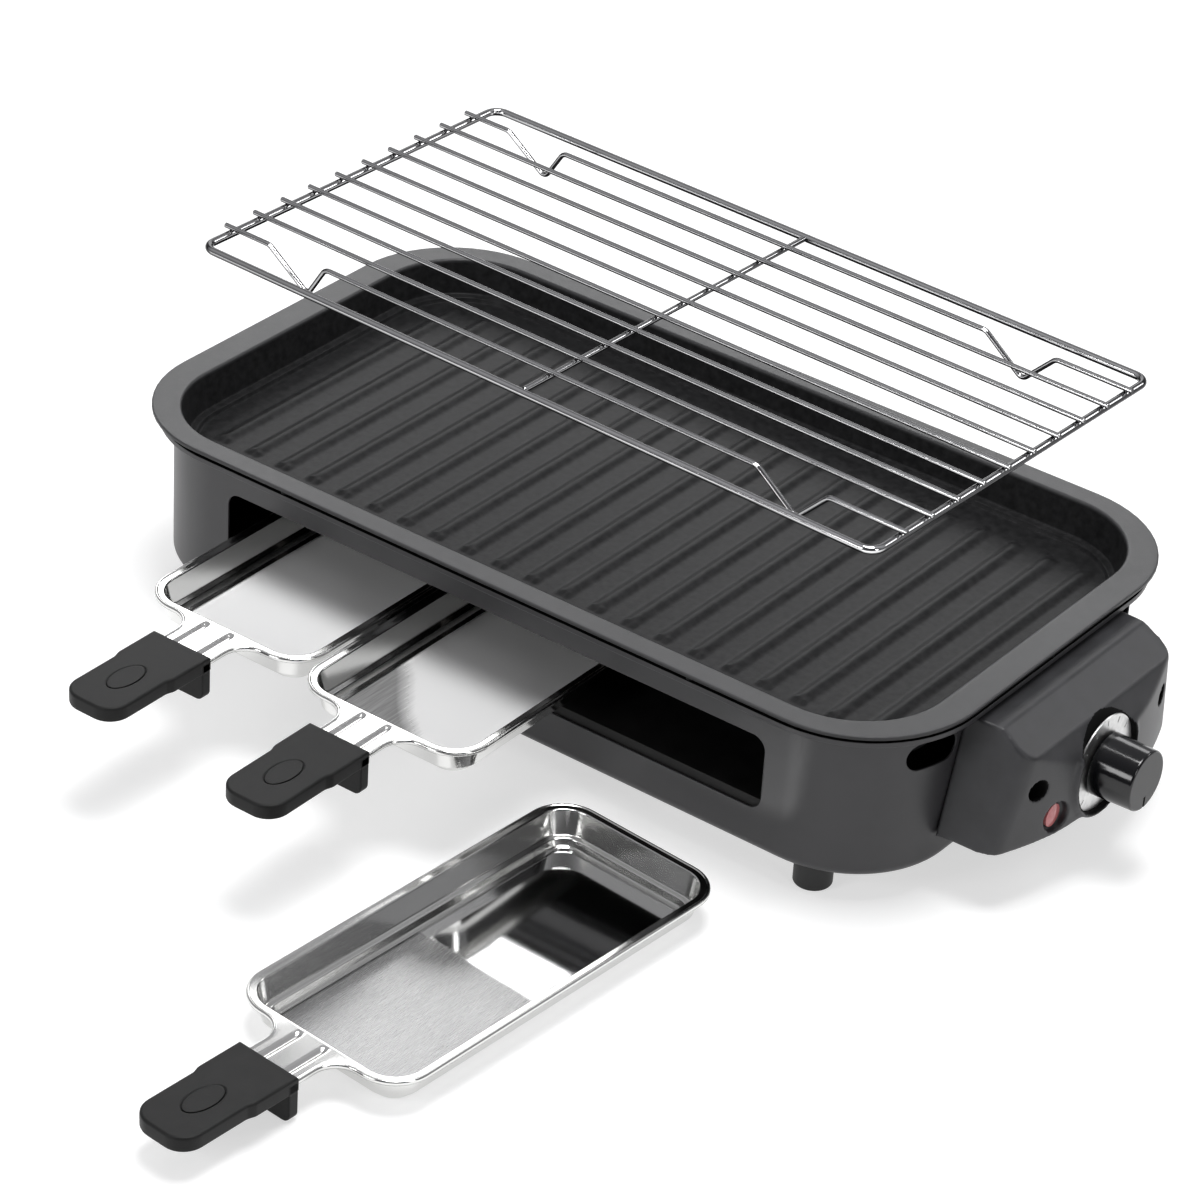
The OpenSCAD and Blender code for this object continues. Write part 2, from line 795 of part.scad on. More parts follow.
// Section of the well's wall, measured from the edge of the flange's opening
module well_section() {
  slope = atan2(well_draft, well_depth - ledge_h);
  down = [-sin(slope), -cos(slope)];
  out = [cos(slope), -sin(slope)];
  centre = [well_round, plate_z - well_round];
  top = centre - out * well_round * wall_top_share;
  ledge_z = floor_z + ledge_h;
  foot = top + down * (top[1] - ledge_z) / cos(slope);
  step = [foot[0] - ledge_w, ledge_z];
  base = [step[0] - ledge_draft, floor_z];
  translate(centre) circle(well_round);
  polygon([
    centre, top, foot, step, base,
    base - [floor_lap, 0], base - [floor_lap, floor_t], [foot[0], floor_z - floor_t],
    foot + out * well_wall, top + out * well_wall, [centre[0] + well_wall, flange_z]
  ]);
  translate([well_round, flange_z]) square([well_wall, flange_t]);
}

// Inward run from the flange's opening to the edge of the flat floor
function well_run() = well_draft + ledge_w + ledge_draft + floor_lap / 2;

module rib_half() {
  polygon([
    [0, -rib_sink], [rib_w / 2, -rib_sink], [rib_w / 2, 0],
    [rib_w / 2 * rib_shoulder_share, rib_h * rib_shoulder_rise_share],
    [rib_w / 2 * rib_top_share, rib_h], [0, rib_h]
  ]);
}

// Rib along Y with round ends
module rib() {
  run = rib_l - rib_w;
  translate([0, run / 2, 0]) rotate([90, 0, 0]) linear_extrude(run) {
    rib_half();
    mirror([1, 0]) rib_half();
  }
  for (y = [-1, 1]) translate([0, y * run / 2, 0]) rotate_extrude() rib_half();
}

module grill_plate() {
  color([0.12, 0.12, 0.125]) in_frame() {
    difference() {
      union() {
        round_slab(plate_l - 2 * flange_round, plate_w - 2 * flange_round, plate_corner_r - flange_round,
          flange_z, flange_t);
        carried_round(plate_l, plate_w, plate_corner_r) {
          translate([-flange_round, flange_z + flange_round])
            square([flange_round, flange_t - 2 * flange_round]);
          for (z = [flange_z + flange_round, plate_z - flange_round])
            translate([-flange_round, z]) circle(flange_round);
        }
      }
      round_slab(well_l + 2 * well_round, well_w + 2 * well_round, well_r + well_round,
        flange_z - cut, flange_t + 2 * cut);
    }
    carried_round(well_l, well_w, well_r) well_section();
    round_slab(well_l - 2 * well_run(), well_w - 2 * well_run(), well_r - well_run(),
      floor_z - floor_t, floor_t);
    for (i = [0 : rib_count - 1])
      translate([(i - (rib_count - 1) / 2) * rib_pitch, rib_shift, floor_z]) rib();
    at_pads() cylinder(d = pad_d, h = plate_gap - seat + flange_t / 2);
  }
}

// Pads that keep the plate off the body's rim
module at_pads() {
  rest = (flare_r + rim_out) / 2;
  for (x = [-1, 1], y = [-1, 1])
    translate([x * pad_x, y * (half_w + rest), rim_z + seat]) children();
  for (x = [-1, 1])
    translate([x * (half_l + rest), 0, rim_z + seat]) children();
}

module on_rack() {
  in_frame() translate([rack_x, rack_y, 0]) rotate([0, 0, rack_yaw]) children();
}

module rack_frame() {
  color([0.8, 0.8, 0.8]) on_rack()
    carried_round(rack_l, rack_w, rack_r) translate([0, rack_z]) circle(d = frame_wire);
}

module rack_bars() {
  half = rack_l / 2 + bar_over;
  color([0.8, 0.8, 0.8]) on_rack()
    for (i = [2 : bar_count + 1])
      translate([0, i * bar_pitch - rack_w / 2, bar_z]) along_x(-half, 2 * half, bar_wire);
}

// Wire with two pointed legs bent down in it, drawn with a square section
module rack_leg_bar(i) {
  half = rack_l / 2 + bar_over;
  left = -rack_l / 2;
  right = rack_l / 2;
  points = [
    [-half, 0], [left + leg_left_in, 0], [left + leg_left_low, -leg_depth],
    [left + leg_left_out, 0], [right - leg_right_out, 0], [right - leg_right_low, -leg_depth],
    [right - leg_right_in, 0], [half, 0]
  ];
  last = len(points) - 1;
  color([0.8, 0.8, 0.8]) on_rack() translate([0, i * bar_pitch - rack_w / 2, bar_z]) rotate([90, 0, 0])
    linear_extrude(bar_wire, center = true) polygon(concat(
      [for (n = [0 : last]) beside(points, n, bar_wire / 2)],
      [for (n = [last : -1 : 0]) beside(points, n, -bar_wire / 2)]
    ));
}

// Point at a distance to the left of a run of straight lines, at its corner number n
function beside(points, n, distance) =
  let (
    before = unit(points[max(n, 1)] - points[max(n, 1) - 1]),
    after = unit(points[min(n + 1, len(points) - 1)] - points[min(n, len(points) - 2)])
  )
  points[n] + distance * [-before[1] - after[1], before[0] + after[0]] / (1 + before * after);

function unit(v) = v / norm(v);

module rack_cross_bar() {
  half = (rack_w - frame_wire) / 2 - wire_gap;
  color([0.8, 0.8, 0.8]) on_rack()
    translate([0, half, bar_z - (bar_wire + cross_wire) / 2 - wire_gap]) rotate([90, 0, 0])
      cylinder(d = cross_wire, h = 2 * half);
}

// Outer form of the control box made smaller all round by inset; the back stays open
module box_form(inset) {
  base = box_z + inset;
  front = front_x - inset;
  back = inset > 0 ? half_l - cut : wall_x;
  r = box_bottom_r - inset;
  intersection() {
    union() {
      intersection() {
        rotate([90, 0, 0]) linear_extrude(body_w, center = true) {
          box_profile(inset, base + r);
          translate([back, base]) square([front - r - back, r]);
          translate([front - r, base + r]) circle(r);
        }
        translate([front_x - box_bow, 0, 0]) cylinder(r = box_bow - inset, h = 2 * rim_z);
      }
      intersection() {
        rotate([90, 0, 0]) linear_extrude(body_w, center = true) box_profile(inset, 0);
        translate([0, dial_y, dial_z]) along_x(back, 2 * box_l, dial_d + 2 * box_wall - 2 * inset);
      }
    }
    intersection_for(y = [0, 1]) mirror([0, y, 0]) {
      intersection() {
        box_side(inset);
        intersection_for(turn = box_corner_turns) box_corner(inset, turn);
      }
    }
  }
}

// Side view of the box from its top down to the height low
module box_profile(inset, low) {
  top = box_top_z - inset;
  front = front_x - inset;
  back = inset > 0 ? half_l - cut : wall_x;
  polygon([
    [back, top], [half_l + box_flat, top], [front - box_brow, top - box_brow_drop],
    [front - box_edge_in, top - box_edge_drop], [front, top - box_edge_drop - box_edge_in],
    [front, low], [back, low]
  ]);
}

// Half space inside one sloping side of the box
module box_side(inset) {
  translate([wall_x, box_half, box_top_z]) rotate([0, 0, -box_taper]) rotate([box_slope, 0, 0])
    translate([-body_w, -inset - body_l, -body_w]) cube([2 * body_w, body_l, 2 * body_w]);
}

// Place along X of the corner's middle, for a distance y from the middle plane
function corner_mid_x(y) = front_x - box_bow + sqrt(pow(box_bow - box_corner_r, 2) - y * y);

// Half space that takes one flat off the upright corner between front and side
module box_corner(inset, turn) {
  high = box_top_z - box_z;
  y_top = box_half - box_corner_r - box_l * tan(box_taper);
  lean = atan2(corner_mid_x(y_top) - corner_mid_x(y_top + high * tan(box_slope)), high);
  translate([corner_mid_x(y_top), y_top, box_top_z]) rotate([0, lean, 0]) rotate([box_slope, 0, 0])
    rotate([0, 0, turn])
      translate([box_corner_r - inset - body_l, -body_w, -body_w]) cube([body_l, 2 * body_w, 2 * body_w]);
}

module control_cover() {
  color([0.17, 0.17, 0.175]) in_frame() difference() {
    union() {
      difference() {
        box_form(0);
        box_form(box_wall);
      }
      intersection() {
        box_form(0);
        union() {
          translate([0, dial_y, dial_z]) along_x(pocket_x - box_wall, box_l, dial_d + 2 * box_wall);
          translate([0, lamp_y, lamp_z]) along_x(lamp_seat_x - lamp_wall, box_l, lamp_recess_d + 2 * lamp_wall);
          at_cover_screws() along_x(wall_x, box_l, screw_well_d + 2 * screw_wall);
        }
      }
    }
    translate([0, dial_y, dial_z]) {
      along_x(pocket_x, box_l, dial_d);
      along_x(half_l, box_l, dial_hole_d);
    }
    translate([0, lamp_y, lamp_z]) {
      along_x(lamp_floor_x, box_l, lamp_recess_d);
      along_x(lamp_seat_x, box_l, lens_d + 2 * hole_fit);
      along_x(half_l, box_l, lamp_body_d + 2 * hole_fit);
    }
    at_cover_screws() {
      along_x(screw_floor_x, box_l, screw_well_d);
      along_x(half_l, box_l, cover_screw_d + 2 * hole_fit);
    }
    translate([inlet_x, block_y, box_z - cut])
      cylinder(d = inlet_d + 2 * hole_fit, h = box_wall + 2 * cut);
  }
}

module cover_screws() {
  color([0.5, 0.5, 0.52]) in_frame() at_cover_screws() translate([screw_floor_x, 0, 0]) rotate([0, -90, 0])
    fastener(cover_screw_d, screw_floor_out + sheet + cover_nut_h + cover_screw_end,
      cover_screw_head_d, cover_screw_head_h);
}

module cover_nuts() {
  color([0.6, 0.6, 0.62]) in_frame() at_cover_screws()
    translate([half_l - sheet, 0, 0]) rotate([0, -90, 0])
      nut(cover_nut_d, cover_nut_h, cover_screw_d + 2 * hole_fit);
}

module on_dial_axis() {
  in_frame() translate([0, dial_y, dial_z]) children();
}

// Dial: a thin round plate with plain scale marks sunk in its face
module dial_plate() {
  mark_from = dial_d / 2 - tick_in - tick_l;
  color([0.78, 0.78, 0.79]) on_dial_axis() difference() {
    along_x(pocket_x, dial_t, dial_d - 2 * dial_fit);
    along_x(pocket_x - cut, dial_t + 2 * cut, dial_hole_d);
    for (i = [0 : tick_count - 1]) rotate([(i - (tick_count - 1) / 2) * tick_turn, 0, 0])
      translate([dial_x - tick_depth, -tick_w / 2, mark_from]) cube([tick_depth + cut, tick_w, tick_l]);
  }
}

// Section of the knob: x is the radius and y runs from its back to its face
module knob_section() {
  back_r = knob_d / 2;
  face_r = back_r - knob_taper;
  difference() {
    union() {
      polygon([
        [0, 0], [back_r, 0], [face_r, knob_l - knob_round],
        [face_r - knob_round, knob_l], [0, knob_l]
      ]);
      translate([face_r - knob_round, knob_l - knob_round]) circle(knob_round);
    }
    translate([knob_hub_d / 2, -cut])
      square([face_r - knob_shell - knob_hub_d / 2, knob_l - knob_face_t + cut]);
  }
}

// Round bar along +X with one flat: from the place x, with radius r and the flat at height flat_z
module flatted(x, l, r, flat_z) {
  difference() {
    along_x(x, l, 2 * r);
    translate([x - cut, -2 * r, flat_z]) cube([l + 2 * cut, 4 * r, 2 * r]);
  }
}

module knob() {
  flat_z = shaft_d / 2 - shaft_flat + shaft_fit;
  color([0.05, 0.05, 0.055]) on_dial_axis() difference() {
    translate([knob_x, 0, 0]) rotate([0, 90, 0]) rotate_extrude() knob_section();
    flatted(knob_x - cut, knob_l - knob_face_t + cut, shaft_d / 2 + shaft_fit, flat_z);
    translate([knob_front_x - mark_depth, -mark_w / 2, -knob_d / 2]) cube([mark_depth + cut, mark_w, mark_l]);
  }
}

module thermostat_shaft() {
  round_x = thermo_front_x - shaft_in;
  color([0.72, 0.72, 0.73]) on_dial_axis() {
    along_x(round_x, dial_x - round_x, shaft_d);
    flatted(dial_x, shaft_end_x - dial_x, shaft_d / 2, shaft_d / 2 - shaft_flat);
  }
}

module thermostat_body() {
  color([0.62, 0.6, 0.56]) on_dial_axis() difference() {
    union() {
      translate([thermo_x, -thermo_w / 2, -thermo_h / 2]) cube([thermo_l, thermo_w, thermo_h]);
      along_x(thermo_front_x - cut, bush_l + cut, bush_d);
    }
    along_x(thermo_front_x - shaft_in - cut, shaft_in + bush_l + 2 * cut, shaft_d + 2 * shaft_fit);
  }
}

module thermostat_nut() {
  color([0.6, 0.6, 0.62]) on_dial_axis() translate([thermo_front_x + bracket_t, 0, 0]) rotate([0, 90, 0])
    nut(thermo_nut_d, thermo_nut_h, bush_d + 2 * hole_fit);
}

// Bracket: a bridge over the thermostat with a foot on the wall at each end
module thermostat_bracket() {
  deep = thermo_front_x + bracket_t - half_l;
  color([0.66, 0.66, 0.67]) in_frame() difference() {
    translate([half_l, dial_y - bracket_w / 2, dial_z]) {
      translate([deep - bracket_t, 0, -bracket_half]) cube([bracket_t, bracket_w, 2 * bracket_half]);
      for (z = [-bracket_half, bracket_half - bracket_t])
        translate([0, 0, z]) cube([deep, bracket_w, bracket_t]);
      for (z = [-bracket_half - bracket_foot, bracket_half - bracket_t])
        translate([0, 0, z]) cube([bracket_t, bracket_w, bracket_foot + bracket_t]);
    }
    translate([0, dial_y, dial_z]) along_x(thermo_front_x - cut, bracket_t + 2 * cut, bush_d + 2 * hole_fit);
    at_bracket_screws() along_x(half_l - cut, bracket_t + 2 * cut, bracket_screw_d + 2 * hole_fit);
  }
}

module bracket_screws() {
  color([0.6, 0.6, 0.62]) in_frame() at_bracket_screws() translate([half_l + bracket_t, 0, 0])
    rotate([0, -90, 0])
      fastener(bracket_screw_d, bracket_t + sheet + bracket_screw_end, bracket_screw_head_d, bracket_screw_head_h);
}

module on_lamp_axis() {
  in_frame() translate([0, lamp_y, lamp_z]) children();
}

// Lens: a short round button with a slightly domed face
module lamp_lens() {
  dome_r = (lens_d * lens_d / 4 + lamp_dome * lamp_dome) / (2 * lamp_dome);
  color([0.75, 0.03, 0.04]) on_lamp_axis() {
    along_x(lamp_seat_x, lamp_rise, lens_d);
    intersection() {
      along_x(lamp_seat_x + lamp_rise / 2, lamp_rise, lens_d);
      translate([lamp_seat_x + lamp_rise + lamp_dome - dome_r, 0, 0]) rotate([0, 90, 0]) sphere(dome_r);
    }
  }
}

module lamp_body() {
  color([0.85, 0.82, 0.75]) on_lamp_axis() along_x(lamp_back_x, lamp_body_l, lamp_body_d);
}

// Terminal block: three wire holes across it and one fixing hole
module terminal_block() {
  color([0.9, 0.88, 0.82]) in_frame() translate([0, block_y, block_z]) difference() {
    translate([half_l, -block_w / 2, -block_h / 2]) cube([block_l, block_w, block_h]);
    along_x(half_l - cut, block_l + 2 * cut, bracket_screw_d + 2 * hole_fit);
    for (y = [-1, 1]) translate([half_l + block_l / 2, y * block_pitch, -block_h / 2 - cut])
      cylinder(d = block_hole_d, h = block_h + 2 * cut);
    translate([half_l + block_l - block_screw_head_h, 0, 0])
      along_x(0, block_screw_head_h + cut, bracket_screw_head_d + 2 * hole_fit);
  }
}

module terminal_screw() {
  color([0.6, 0.6, 0.62]) in_frame() translate([half_l + block_l - block_screw_head_h, block_y, block_z])
    rotate([0, -90, 0])
      fastener(bracket_screw_d, block_l - block_screw_head_h + sheet + bracket_screw_end,
        bracket_screw_head_d, bracket_screw_head_h);
}

// Insulated wires inside the box: block to pin, pin to thermostat, thermostat to block and lamp
module inner_leads() {
  pin_low = -tab_w / 2 - lead_gap;
  block_top = block_z + block_h / 2 + lead_gap - element_z;
  thermo_side = dial_y - thermo_w / 2 - lead_gap;
  lead_z = dial_z + lead_side_in;
  color([0.75, 0.72, 0.68]) in_frame() {
    translate([0, block_y, element_z]) rotate([90, 0, 0])
      bent_bar(
        [
          [half_l + lead_block_in, block_top], [half_l + lead_block_in, block_top + lead_low],
          [tab_x, block_top + lead_low], [tab_x, pin_low]
        ],
        [lead_bend, lead_bend],
        lead_d
      );
    translate([tab_x, 0, 0]) rotate([90, 0, 90])
      bent_bar(
        [[thermo_side, lead_z], [-cold_y, lead_z], [-cold_y, element_z + pin_low]],
        [lead_bend],
        lead_d
      );
    translate([lead_side_x, dial_y + thermo_w / 2 + lead_gap, block_z + lead_side_in]) rotate([-90, 0, 0])
      cylinder(d = lead_d, h = block_y - block_w / 2 - dial_y - thermo_w / 2 - 2 * lead_gap);
    lamp_lead(thermo_side);
  }
}

// Wire from the back of the lamp, bent up to the side of the thermostat
module lamp_lead(side_y) {
  rise = dial_z - thermo_h / 2 + lead_side_in - lamp_z;
  run = side_y - lamp_y;
  reach = norm([rise, run]) - lead_d / 2 * abs(rise) / run;
  translate([0, lamp_y, lamp_z]) rotate([atan2(rise, run), 0, 0])
    bent_bar(
      [
        [lamp_back_x - lead_gap, 0], [lamp_back_x - lamp_lead_run, 0],
        [lamp_back_x - lamp_lead_run, reach]
      ],
      [lead_bend],
      lead_d
    );
}

// Bush in the underside of the box, through which the cord goes in
module cord_inlet_bush() {
  color([0.06, 0.06, 0.06]) in_frame() translate([inlet_x, block_y, box_z - inlet_lip_t]) difference() {
    union() {
      cylinder(d = inlet_lip_d, h = inlet_lip_t);
      cylinder(d = inlet_d, h = inlet_lip_t + box_wall + inlet_in);
    }
    translate([0, 0, -cut]) cylinder(d = inlet_bore_d, h = inlet_lip_t + box_wall + inlet_in + 2 * cut);
  }
}

// Section of a pan, measured from the rim's outer edge and from the pan's underside
module pan_section() {
  side_x = -pan_rim;
  step_x = side_x - pan_draft;
  low_x = step_x - pan_step_w;
  floor_x = low_x - pan_low_draft;
  translate([side_x - pan_t, pan_h - pan_t]) square([pan_rim + pan_t, pan_t]);
  translate([-pan_t, pan_h - pan_lip]) square([pan_t, pan_lip]);
  polygon([
    [side_x, pan_h - pan_t / 2], [step_x, pan_step_z - pan_t / 2], [low_x, pan_step_z - pan_step_h - pan_t / 2],
    [floor_x, 0], [floor_x - pan_floor_lap, 0], [floor_x - pan_floor_lap, pan_t],
    [floor_x - pan_t / 2, pan_t], [low_x - pan_t, pan_step_z - pan_step_h + pan_t / 2],
    [step_x - pan_t, pan_step_z + pan_t / 2], [side_x - pan_t, pan_h - pan_t / 2]
  ]);
}

// Plan of the neck and the tang behind it, with wide fillets at the rim
module neck_plan() {
  near = -pan_l / 2;
  far = near - neck_l;
  translate([-neck_w / 2, far]) square([neck_w, neck_l + neck_lap]);
  translate([-tang_w / 2, far - tang_l]) square([tang_w, tang_l + neck_lap]);
  difference() {
    translate([-neck_w / 2 - neck_fillet, near - neck_fillet])
      square([neck_w + 2 * neck_fillet, neck_fillet + pan_t]);
    for (x = [-1, 1]) translate([x * (neck_w / 2 + neck_fillet), near - neck_fillet]) circle(neck_fillet);
  }
}

module pan_tray() {
  floor_in = pan_rim + pan_draft + pan_step_w + pan_low_draft + pan_floor_lap / 2;
  near = -pan_l / 2;
  bead_z = pan_h + bead_r - bead_depth;
  screw_y = near - neck_l - handle_screw_from;
  difference() {
    union() {
      carried_round(pan_w, pan_l, pan_r) pan_section();
      round_slab(pan_w - 2 * floor_in, pan_l - 2 * floor_in, pan_r - floor_in, 0, pan_t);
      translate([0, 0, pan_h - pan_t]) linear_extrude(pan_t) neck_plan();
      intersection() {
        at_beads(bead_z) cylinder(r = bead_r + pan_t, h = neck_l);
        translate([-neck_w / 2, near - neck_l, 0]) cube([neck_w, neck_l, pan_h]);
      }
    }
    at_beads(bead_z) translate([0, 0, -cut]) cylinder(r = bead_r, h = neck_l + cut);
    translate([0, screw_y, pan_h - 2 * pan_t]) cylinder(d = handle_screw_d + 2 * hole_fit, h = 3 * pan_t);
  }
}

// The two grooves pressed into the neck, drawn from the handle towards the rim
module at_beads(z) {
  for (x = [-1, 1]) translate([x * bead_x, -pan_l / 2 - neck_l + seat, z]) rotate([-90, 0, 0]) children();
}

// Plan of a handle: wide at its root, slimmer from the step on, with round front corners
module handle_plan() {
  root = -pan_l / 2 - neck_l - seat;
  front = -handle_far;
  slim = handle_w / 2 - handle_slim;
  polygon([
    [-handle_w / 2, root], [-handle_w / 2, root - handle_slim_from],
    [-slim, root - handle_slim_from - handle_slim_run], [-slim, front + handle_front_r],
    [slim, front + handle_front_r], [slim, root - handle_slim_from - handle_slim_run],
    [handle_w / 2, root - handle_slim_from], [handle_w / 2, root]
  ]);
  translate([handle_front_r - slim, front]) square([2 * (slim - handle_front_r), handle_front_r]);
  for (x = [-1, 1]) translate([x * (slim - handle_front_r), front + handle_front_r]) circle(handle_front_r);
}

module pan_handle() {
  root = -pan_l / 2 - neck_l - seat;
  top = pan_h + handle_rise;
  low = top - handle_t;
  difference() {
    union() {
      translate([0, 0, low]) linear_extrude(handle_t) handle_plan();
      translate([0, root, 0]) rotate([90, 0, 0]) linear_extrude(handle_tab_t) {
        translate([-handle_w / 2, handle_tab_r]) square([handle_w, top - handle_tab_r - handle_t / 2]);
        translate([handle_tab_r - handle_w / 2, 0]) square([handle_w - 2 * handle_tab_r, handle_tab_r]);
        for (x = [-1, 1]) translate([x * (handle_w / 2 - handle_tab_r), handle_tab_r]) circle(handle_tab_r);
      }
    }
    translate([-tang_w / 2 - hole_fit, root - tang_l - hole_fit, pan_h - pan_t - hole_fit])
      cube([tang_w + 2 * hole_fit, tang_l + cut, pan_t + 2 * hole_fit]);
    translate([0, root - oval_from, top - oval_depth]) rotate([0, 0, 90])
      linear_extrude(oval_depth + cut) long_hole(oval_l, oval_w);
    at_handle_screw() {
      translate([0, 0, low - cut]) cylinder(d = handle_screw_head_d + 2 * hole_fit, h = handle_screw_sink + cut);
      translate([0, 0, low]) cylinder(d = handle_screw_d + 2 * hole_fit, h = handle_t - handle_screw_top);
    }
  }
}

module at_handle_screw() {
  translate([0, -pan_l / 2 - neck_l - handle_screw_from, 0]) children();
}

// Screw from below, through the handle and the tang
module pan_screw() {
  low = pan_h + handle_rise - handle_t;
  at_handle_screw() translate([0, 0, low + handle_screw_sink])
    fastener(handle_screw_d, handle_t - handle_screw_sink - handle_screw_top - hole_fit,
      handle_screw_head_d, handle_screw_head_h);
}

module at_left_pan() {
  in_frame() translate([pan_left_x, pan_home_y - pan_left_out, pan_z]) children();
}

module at_middle_pan() {
  in_frame() translate([pan_middle_x, pan_home_y - pan_middle_out, pan_z]) children();
}

module at_loose_pan() {
  in_frame() translate([loose_x, -loose_out, 0]) rotate([0, 0, loose_yaw]) children();
}

module steel() {
  color([0.78, 0.78, 0.78]) children();
}

module black_plastic() {
  color([0.14, 0.14, 0.14]) children();
}

body_shell();
bottom_plate();
bottom_screws();
foot(-1, -1);  // foot_front_left
foot(1, -1);  // foot_front_right
foot(-1, 1);  // foot_back_left
foot(1, 1);  // foot_back_right
foot_screws();
foot_nuts();
pan_shelf();
shelf_rivets();
heating_element();
element_collars();
element_pins();
element_support(-1);  // element_support_left
element_support(1);  // element_support_right
element_saddles();
grill_plate();
rack_frame();
rack_bars();
rack_leg_bar(1);  // rack_leg_bar_front
rack_leg_bar(bar_count + 2);  // rack_leg_bar_back
rack_cross_bar();
control_cover();
cover_screws();
cover_nuts();
dial_plate();
knob();
thermostat_shaft();
thermostat_body();
thermostat_nut();
thermostat_bracket();
bracket_screws();
lamp_lens();
lamp_body();
terminal_block();
terminal_screw();
inner_leads();
cord_inlet_bush();
at_left_pan() steel() pan_tray();  // pan_left_tray
at_left_pan() black_plastic() pan_handle();  // pan_left_handle
at_left_pan() steel() pan_screw();  // pan_left_screw
at_middle_pan() steel() pan_tray();  // pan_middle_tray
at_middle_pan() black_plastic() pan_handle();  // pan_middle_handle
at_middle_pan() steel() pan_screw();  // pan_middle_screw
at_loose_pan() steel() pan_tray();  // pan_loose_tray
at_loose_pan() black_plastic() pan_handle();  // pan_loose_handle
at_loose_pan() steel() pan_screw();  // pan_loose_screw
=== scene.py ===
import math

import bmesh
import bpy
from mathutils import Matrix, Quaternion, Vector


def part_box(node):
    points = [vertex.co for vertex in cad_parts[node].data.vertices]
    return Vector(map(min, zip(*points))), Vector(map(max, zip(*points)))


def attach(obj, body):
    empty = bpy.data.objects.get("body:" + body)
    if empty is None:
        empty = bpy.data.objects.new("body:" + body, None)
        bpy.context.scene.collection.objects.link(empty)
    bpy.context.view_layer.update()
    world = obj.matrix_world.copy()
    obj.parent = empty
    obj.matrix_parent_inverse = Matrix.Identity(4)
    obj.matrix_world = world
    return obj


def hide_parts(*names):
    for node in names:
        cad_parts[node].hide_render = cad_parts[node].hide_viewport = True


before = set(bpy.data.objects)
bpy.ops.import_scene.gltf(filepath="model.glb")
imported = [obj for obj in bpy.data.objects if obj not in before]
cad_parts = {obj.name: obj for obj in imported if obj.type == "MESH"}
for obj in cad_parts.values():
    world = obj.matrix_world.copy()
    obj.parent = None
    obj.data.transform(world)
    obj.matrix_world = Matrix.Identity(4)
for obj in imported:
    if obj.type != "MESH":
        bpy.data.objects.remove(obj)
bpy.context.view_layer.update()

# Camera: a long lens in front of the roaster, to the right and well above it,
# held a little askew, as the photograph was taken.
eye = Vector((1.02265, -1.34692, 1.17080))
heading, height, tilt = math.radians(35.428), math.radians(31.9711), math.radians(3.7265)
aim = Vector((-math.sin(heading) * math.cos(height), math.cos(heading) * math.cos(height), -math.sin(height)))
lens = bpy.data.cameras.new("camera")
lens.sensor_width = 36
lens.lens = 132.49
lens.clip_start = 0.05
lens.clip_end = 50
camera = bpy.data.objects.new("camera", lens)
camera.rotation_mode = "QUATERNION"
camera.location = eye
camera.rotation_quaternion = aim.to_track_quat("-Z", "Y") @ Quaternion((0, 0, 1), tilt)
bpy.context.scene.collection.objects.link(camera)
bpy.context.scene.camera = camera
bpy.context.scene.view_settings.view_transform = "Standard"


# Studio: a wide soft lamp behind on the left, one overhead and three small ones in
# front, on the right and behind on the right, round a white table in a grey room.
def soft_lamp(name, place, target, side, watts):
    """Rectangular lamp that hangs at a place and is turned to a target."""
    light = bpy.data.lights.new(name, "AREA")
    light.shape = "RECTANGLE"
    light.size, light.size_y = side
    light.energy = watts
    lamp = bpy.data.objects.new(name, light)
    lamp.location = place
    lamp.rotation_mode = "QUATERNION"
    lamp.rotation_quaternion = (Vector(target) - Vector(place)).to_track_quat("-Z", "Y")
    bpy.context.scene.collection.objects.link(lamp)


soft_lamp("lamp_behind", place=(-1.15, 1.67, 1.14), target=(0, 0, 0.05), side=(1.5, 0.8), watts=13)
soft_lamp("lamp_above", place=(0.1, 0.1, 2.0), target=(0.05, 0.05, 0.05), side=(0.8, 0.8), watts=31)
soft_lamp("lamp_front", place=(-0.6, -1.9, 1.0), target=(0, 0, 0.05), side=(0.8, 0.6), watts=12)
soft_lamp("lamp_right", place=(1.8, -0.4, 0.9), target=(0.2, 0, 0.05), side=(0.4, 0.6), watts=5)
soft_lamp("lamp_back_right", place=(1.12, 1.76, 1.27), target=(0.22, 0.13, 0.1), side=(0.5, 0.5), watts=5)

# The camera sees the room white, and the pieces mirror it grey, lighter towards the wide lamp.
room_light_side = (-0.55, 0.78, 0.3)
world = bpy.data.worlds.new("studio")
bpy.context.scene.world = world
world.use_nodes = True
sky = world.node_tree
sky.nodes.clear()
sky_out = sky.nodes.new("ShaderNodeOutputWorld")
sky_room = sky.nodes.new("ShaderNodeBackground")
sky_white = sky.nodes.new("ShaderNodeBackground")
sky_white.inputs["Color"].default_value = (1, 1, 1, 1)
sky_mix = sky.nodes.new("ShaderNodeMixShader")
sky_rays = sky.nodes.new("ShaderNodeLightPath")
sky_way = sky.nodes.new("ShaderNodeTexCoord")
sky_dot = sky.nodes.new("ShaderNodeVectorMath")
sky_dot.operation = "DOT_PRODUCT"
sky_dot.inputs[1].default_value = room_light_side
sky_half = sky.nodes.new("ShaderNodeMath")
sky_half.operation = "MULTIPLY_ADD"
sky_half.inputs[1].default_value = 0.5
sky_half.inputs[2].default_value = 0.5
sky_shade = sky.nodes.new("ShaderNodeValToRGB")
sky_shade.color_ramp.elements[0].position = 0.30
sky_shade.color_ramp.elements[0].color = (0.05, 0.05, 0.053, 1)
sky_shade.color_ramp.elements[1].position = 0.80
sky_shade.color_ramp.elements[1].color = (0.42, 0.42, 0.43, 1)
sky.links.new(sky_way.outputs["Generated"], sky_dot.inputs[0])
